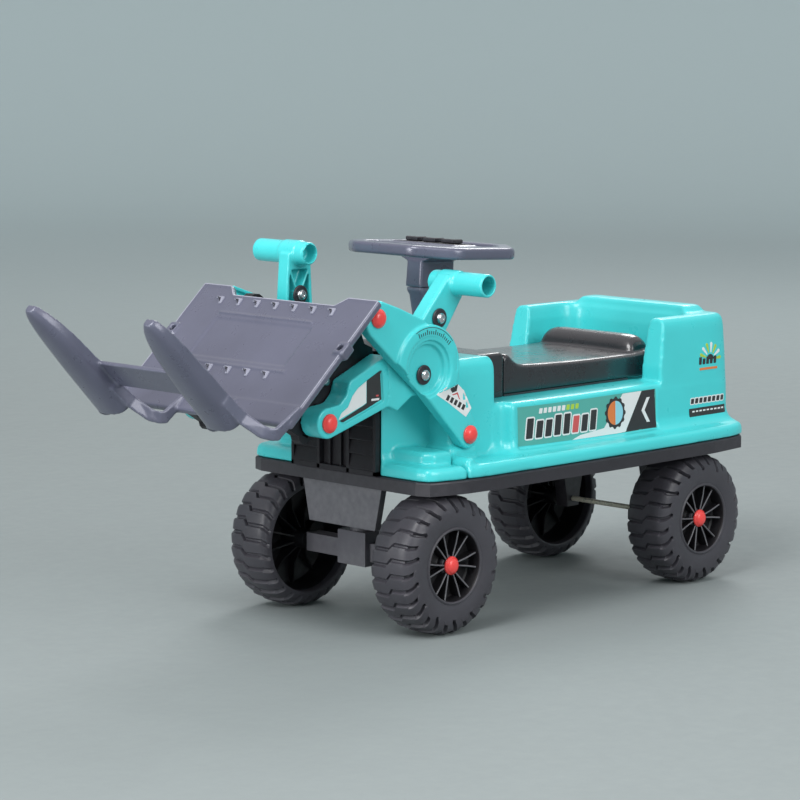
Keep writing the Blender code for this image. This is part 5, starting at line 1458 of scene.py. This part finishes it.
def scale_print():
    out = []
    for k in range(17):
        a = math.radians(66 + 4.6 * k)
        long = 0.0052 if k % 4 == 0 else 0.0034
        c, t = Vector((math.cos(a), math.sin(a))), Vector((-math.sin(a), math.cos(a)))
        q = Vector(DISC)
        out.append(([tuple(q + c * 0.0362 - t * 0.0005), tuple(q + c * (0.0362 + long) - t * 0.0005), tuple(q + c * (0.0362 + long) + t * 0.0005), tuple(q + c * 0.0362 + t * 0.0005)], K, 0.00022))
    for a0, a1, r0, r1 in ((62, 142, 0.0432, 0.0438),):
        out.append((circle(DISC, r0, a0, a1, 20) + circle(DISC, r1, a1, a0, 20), K, 0.00022))
    return out


def lever_print():
    white = [(0.1360, 0.2394), (0.1316, 0.2460), (0.1220, 0.2514), (0.1160, 0.2618), (0.1082, 0.2694), (0.0952, 0.2764), (0.0952, 0.2536), (0.1010, 0.2511)]
    black = [(0.0946, 0.2768), (0.0756, 0.2856), (0.0746, 0.2700), (0.0736, 0.2552), (0.0950, 0.2474), (0.1290, 0.2366), (0.1340, 0.2384), (0.1005, 0.2506), (0.0946, 0.2532)]
    return [(white, W, 0.00025), (black, K, 0.00025), (bar(0.0760, 0.0880, 0.2548, 0.2570, 0.0, 0.0006), W, 0.00036), (bar(0.0772, 0.0812, 0.2588, 0.2606, 0.0, 0.0005), R, 0.00036)]


for label, s in (("left", 1), ("right", -1)):
    sticker("print_side_" + label, body, "chassis", s, side_print(), 0.1205)
    sticker("print_wing_" + label, body, "chassis", s, wing_print(), 0.1165, 0.006)
for label, s, arm_obj, link_obj in (("left", 1, arm, link), ("right", -1, arm_right, link_right)):
    sticker("print_arm_" + label, arm_obj, "lift_arms", s, arm_print(), ARM_Y1)
    sticker("print_scale_" + label, arm_obj, "lift_arms", s, scale_print(), DISC_Y)
    sticker("print_lever_" + label, link_obj, "tilt_lever", s, lever_print(), LINK_Y1 - 0.0030)
print("stickers done", flush=True)

# ------------------------------------------------------------------- stage
def stage_bowl():
    bm = bmesh.new()
    profile = [(0.0, 0.0), (0.6, 0.0), (2.0, 0.0), (4.0, 0.0), (6.0, 0.0)]
    for k in range(1, 13):
        a = math.pi / 2 * k / 12
        profile.append((6.0 + 3.0 * math.sin(a), 3.0 * (1 - math.cos(a))))
    profile.append((9.0, 5.0))
    steps = 64
    rings = []
    for r, z in profile:
        if r == 0:
            rings.append([bm.verts.new((0, 0, 0))])
        else:
            rings.append([bm.verts.new((r * math.cos(2 * math.pi * k / steps), r * math.sin(2 * math.pi * k / steps), z)) for k in range(steps)])
    for a, b in zip(rings, rings[1:]):
        for k in range(steps):
            j = (k + 1) % steps
            if len(a) == 1:
                bm.faces.new((a[0], b[k], b[j]))
            else:
                bm.faces.new((a[k], b[k], b[j], a[j]))
    return mesh_object("studio_floor", bm, recalc=False)


floor = stage_bowl()
floor.data.shade_smooth()
floor_mat = surface("studio_paper", (0.250, 0.283, 0.284), 0.80, vary=0.012, grain=0.02, grain_scale=60.0, wave=0.0)
# Paler towards the wall, where less of the lamps' light falls.
_nodes, _links = floor_mat.node_tree.nodes, floor_mat.node_tree.links
_shader = _nodes["Principled BSDF"]
_near = _shader.inputs["Base Color"].links[0].from_socket
_coords = _nodes.new("ShaderNodeTexCoord")
_far = _nodes.new("ShaderNodeVectorMath")
_far.operation = "LENGTH"
_links.new(_coords.outputs["Object"], _far.inputs[0])
_fade = _nodes.new("ShaderNodeMapRange")
_fade.interpolation_type = "SMOOTHSTEP"
_fade.inputs["From Min"].default_value = 1.2
_fade.inputs["From Max"].default_value = 8.0
_links.new(_far.outputs["Value"], _fade.inputs["Value"])
_mix = _nodes.new("ShaderNodeMix")
_mix.data_type = "RGBA"
_mix.inputs["B"].default_value = (0.580, 0.680, 0.690, 1)
_links.new(_fade.outputs["Result"], _mix.inputs["Factor"])
_links.new(_near, _mix.inputs["A"])
_links.new(_mix.outputs["Result"], _shader.inputs["Base Color"])
floor.data.materials.append(floor_mat)


def area(name, at, target, size, power, colour=(1, 1, 1)):
    data = bpy.data.lights.new(name, "AREA")
    data.shape = "DISK"
    data.size = size
    data.energy = power
    data.color = colour
    obj = bpy.data.objects.new(name, data)
    HOLDER.objects.link(obj)
    obj.location = at
    obj.rotation_euler = (Vector(target) - Vector(at)).to_track_quat("-Z", "Y").to_euler()
    return obj


area("key", (2.6, 0.6, 3.0), (0, 0, 0.2), 1.8, 90)
area("front", (3.4, -0.5, 0.95), (0, 0, 0.22), 1.4, 48)
area("side", (0.2, 3.4, 1.9), (0, 0, 0.2), 2.2, 60)
area("back", (-2.6, -1.6, 2.6), (0, 0, 0.2), 1.6, 45)
world = bpy.data.worlds.new("studio")
world.use_nodes = True
background = world.node_tree.nodes["Background"]
background.inputs["Color"].default_value = (0.98, 0.98, 1.0, 1)
background.inputs["Strength"].default_value = 0.62
bpy.context.scene.world = world
bpy.context.scene.view_settings.view_transform = "Standard"

# ------------------------------------------------------------------- camera
position = Vector((2.29906, 2.25094, 0.66545))
target = Vector((0.0030, 0.0, 0.2326))
roll = math.radians(0.234)
forward = (target - position).normalized()
right = forward.cross(Vector((0, 0, 1))).normalized()
up = right.cross(forward)
r_axis = right * math.cos(roll) + up * math.sin(roll)
u_axis = -right * math.sin(roll) + up * math.cos(roll)
camera_data = bpy.data.cameras.new("camera")
camera_data.sensor_width = 36.0
camera_data.lens = 133.99
camera_data.clip_end = 50.0
camera = bpy.data.objects.new("camera", camera_data)
HOLDER.objects.link(camera)
camera.matrix_world = Matrix(
    (
        (r_axis.x, u_axis.x, -forward.x, position.x),
        (r_axis.y, u_axis.y, -forward.y, position.y),
        (r_axis.z, u_axis.z, -forward.z, position.z),
        (0, 0, 0, 1),
    )
)
bpy.context.scene.camera = camera
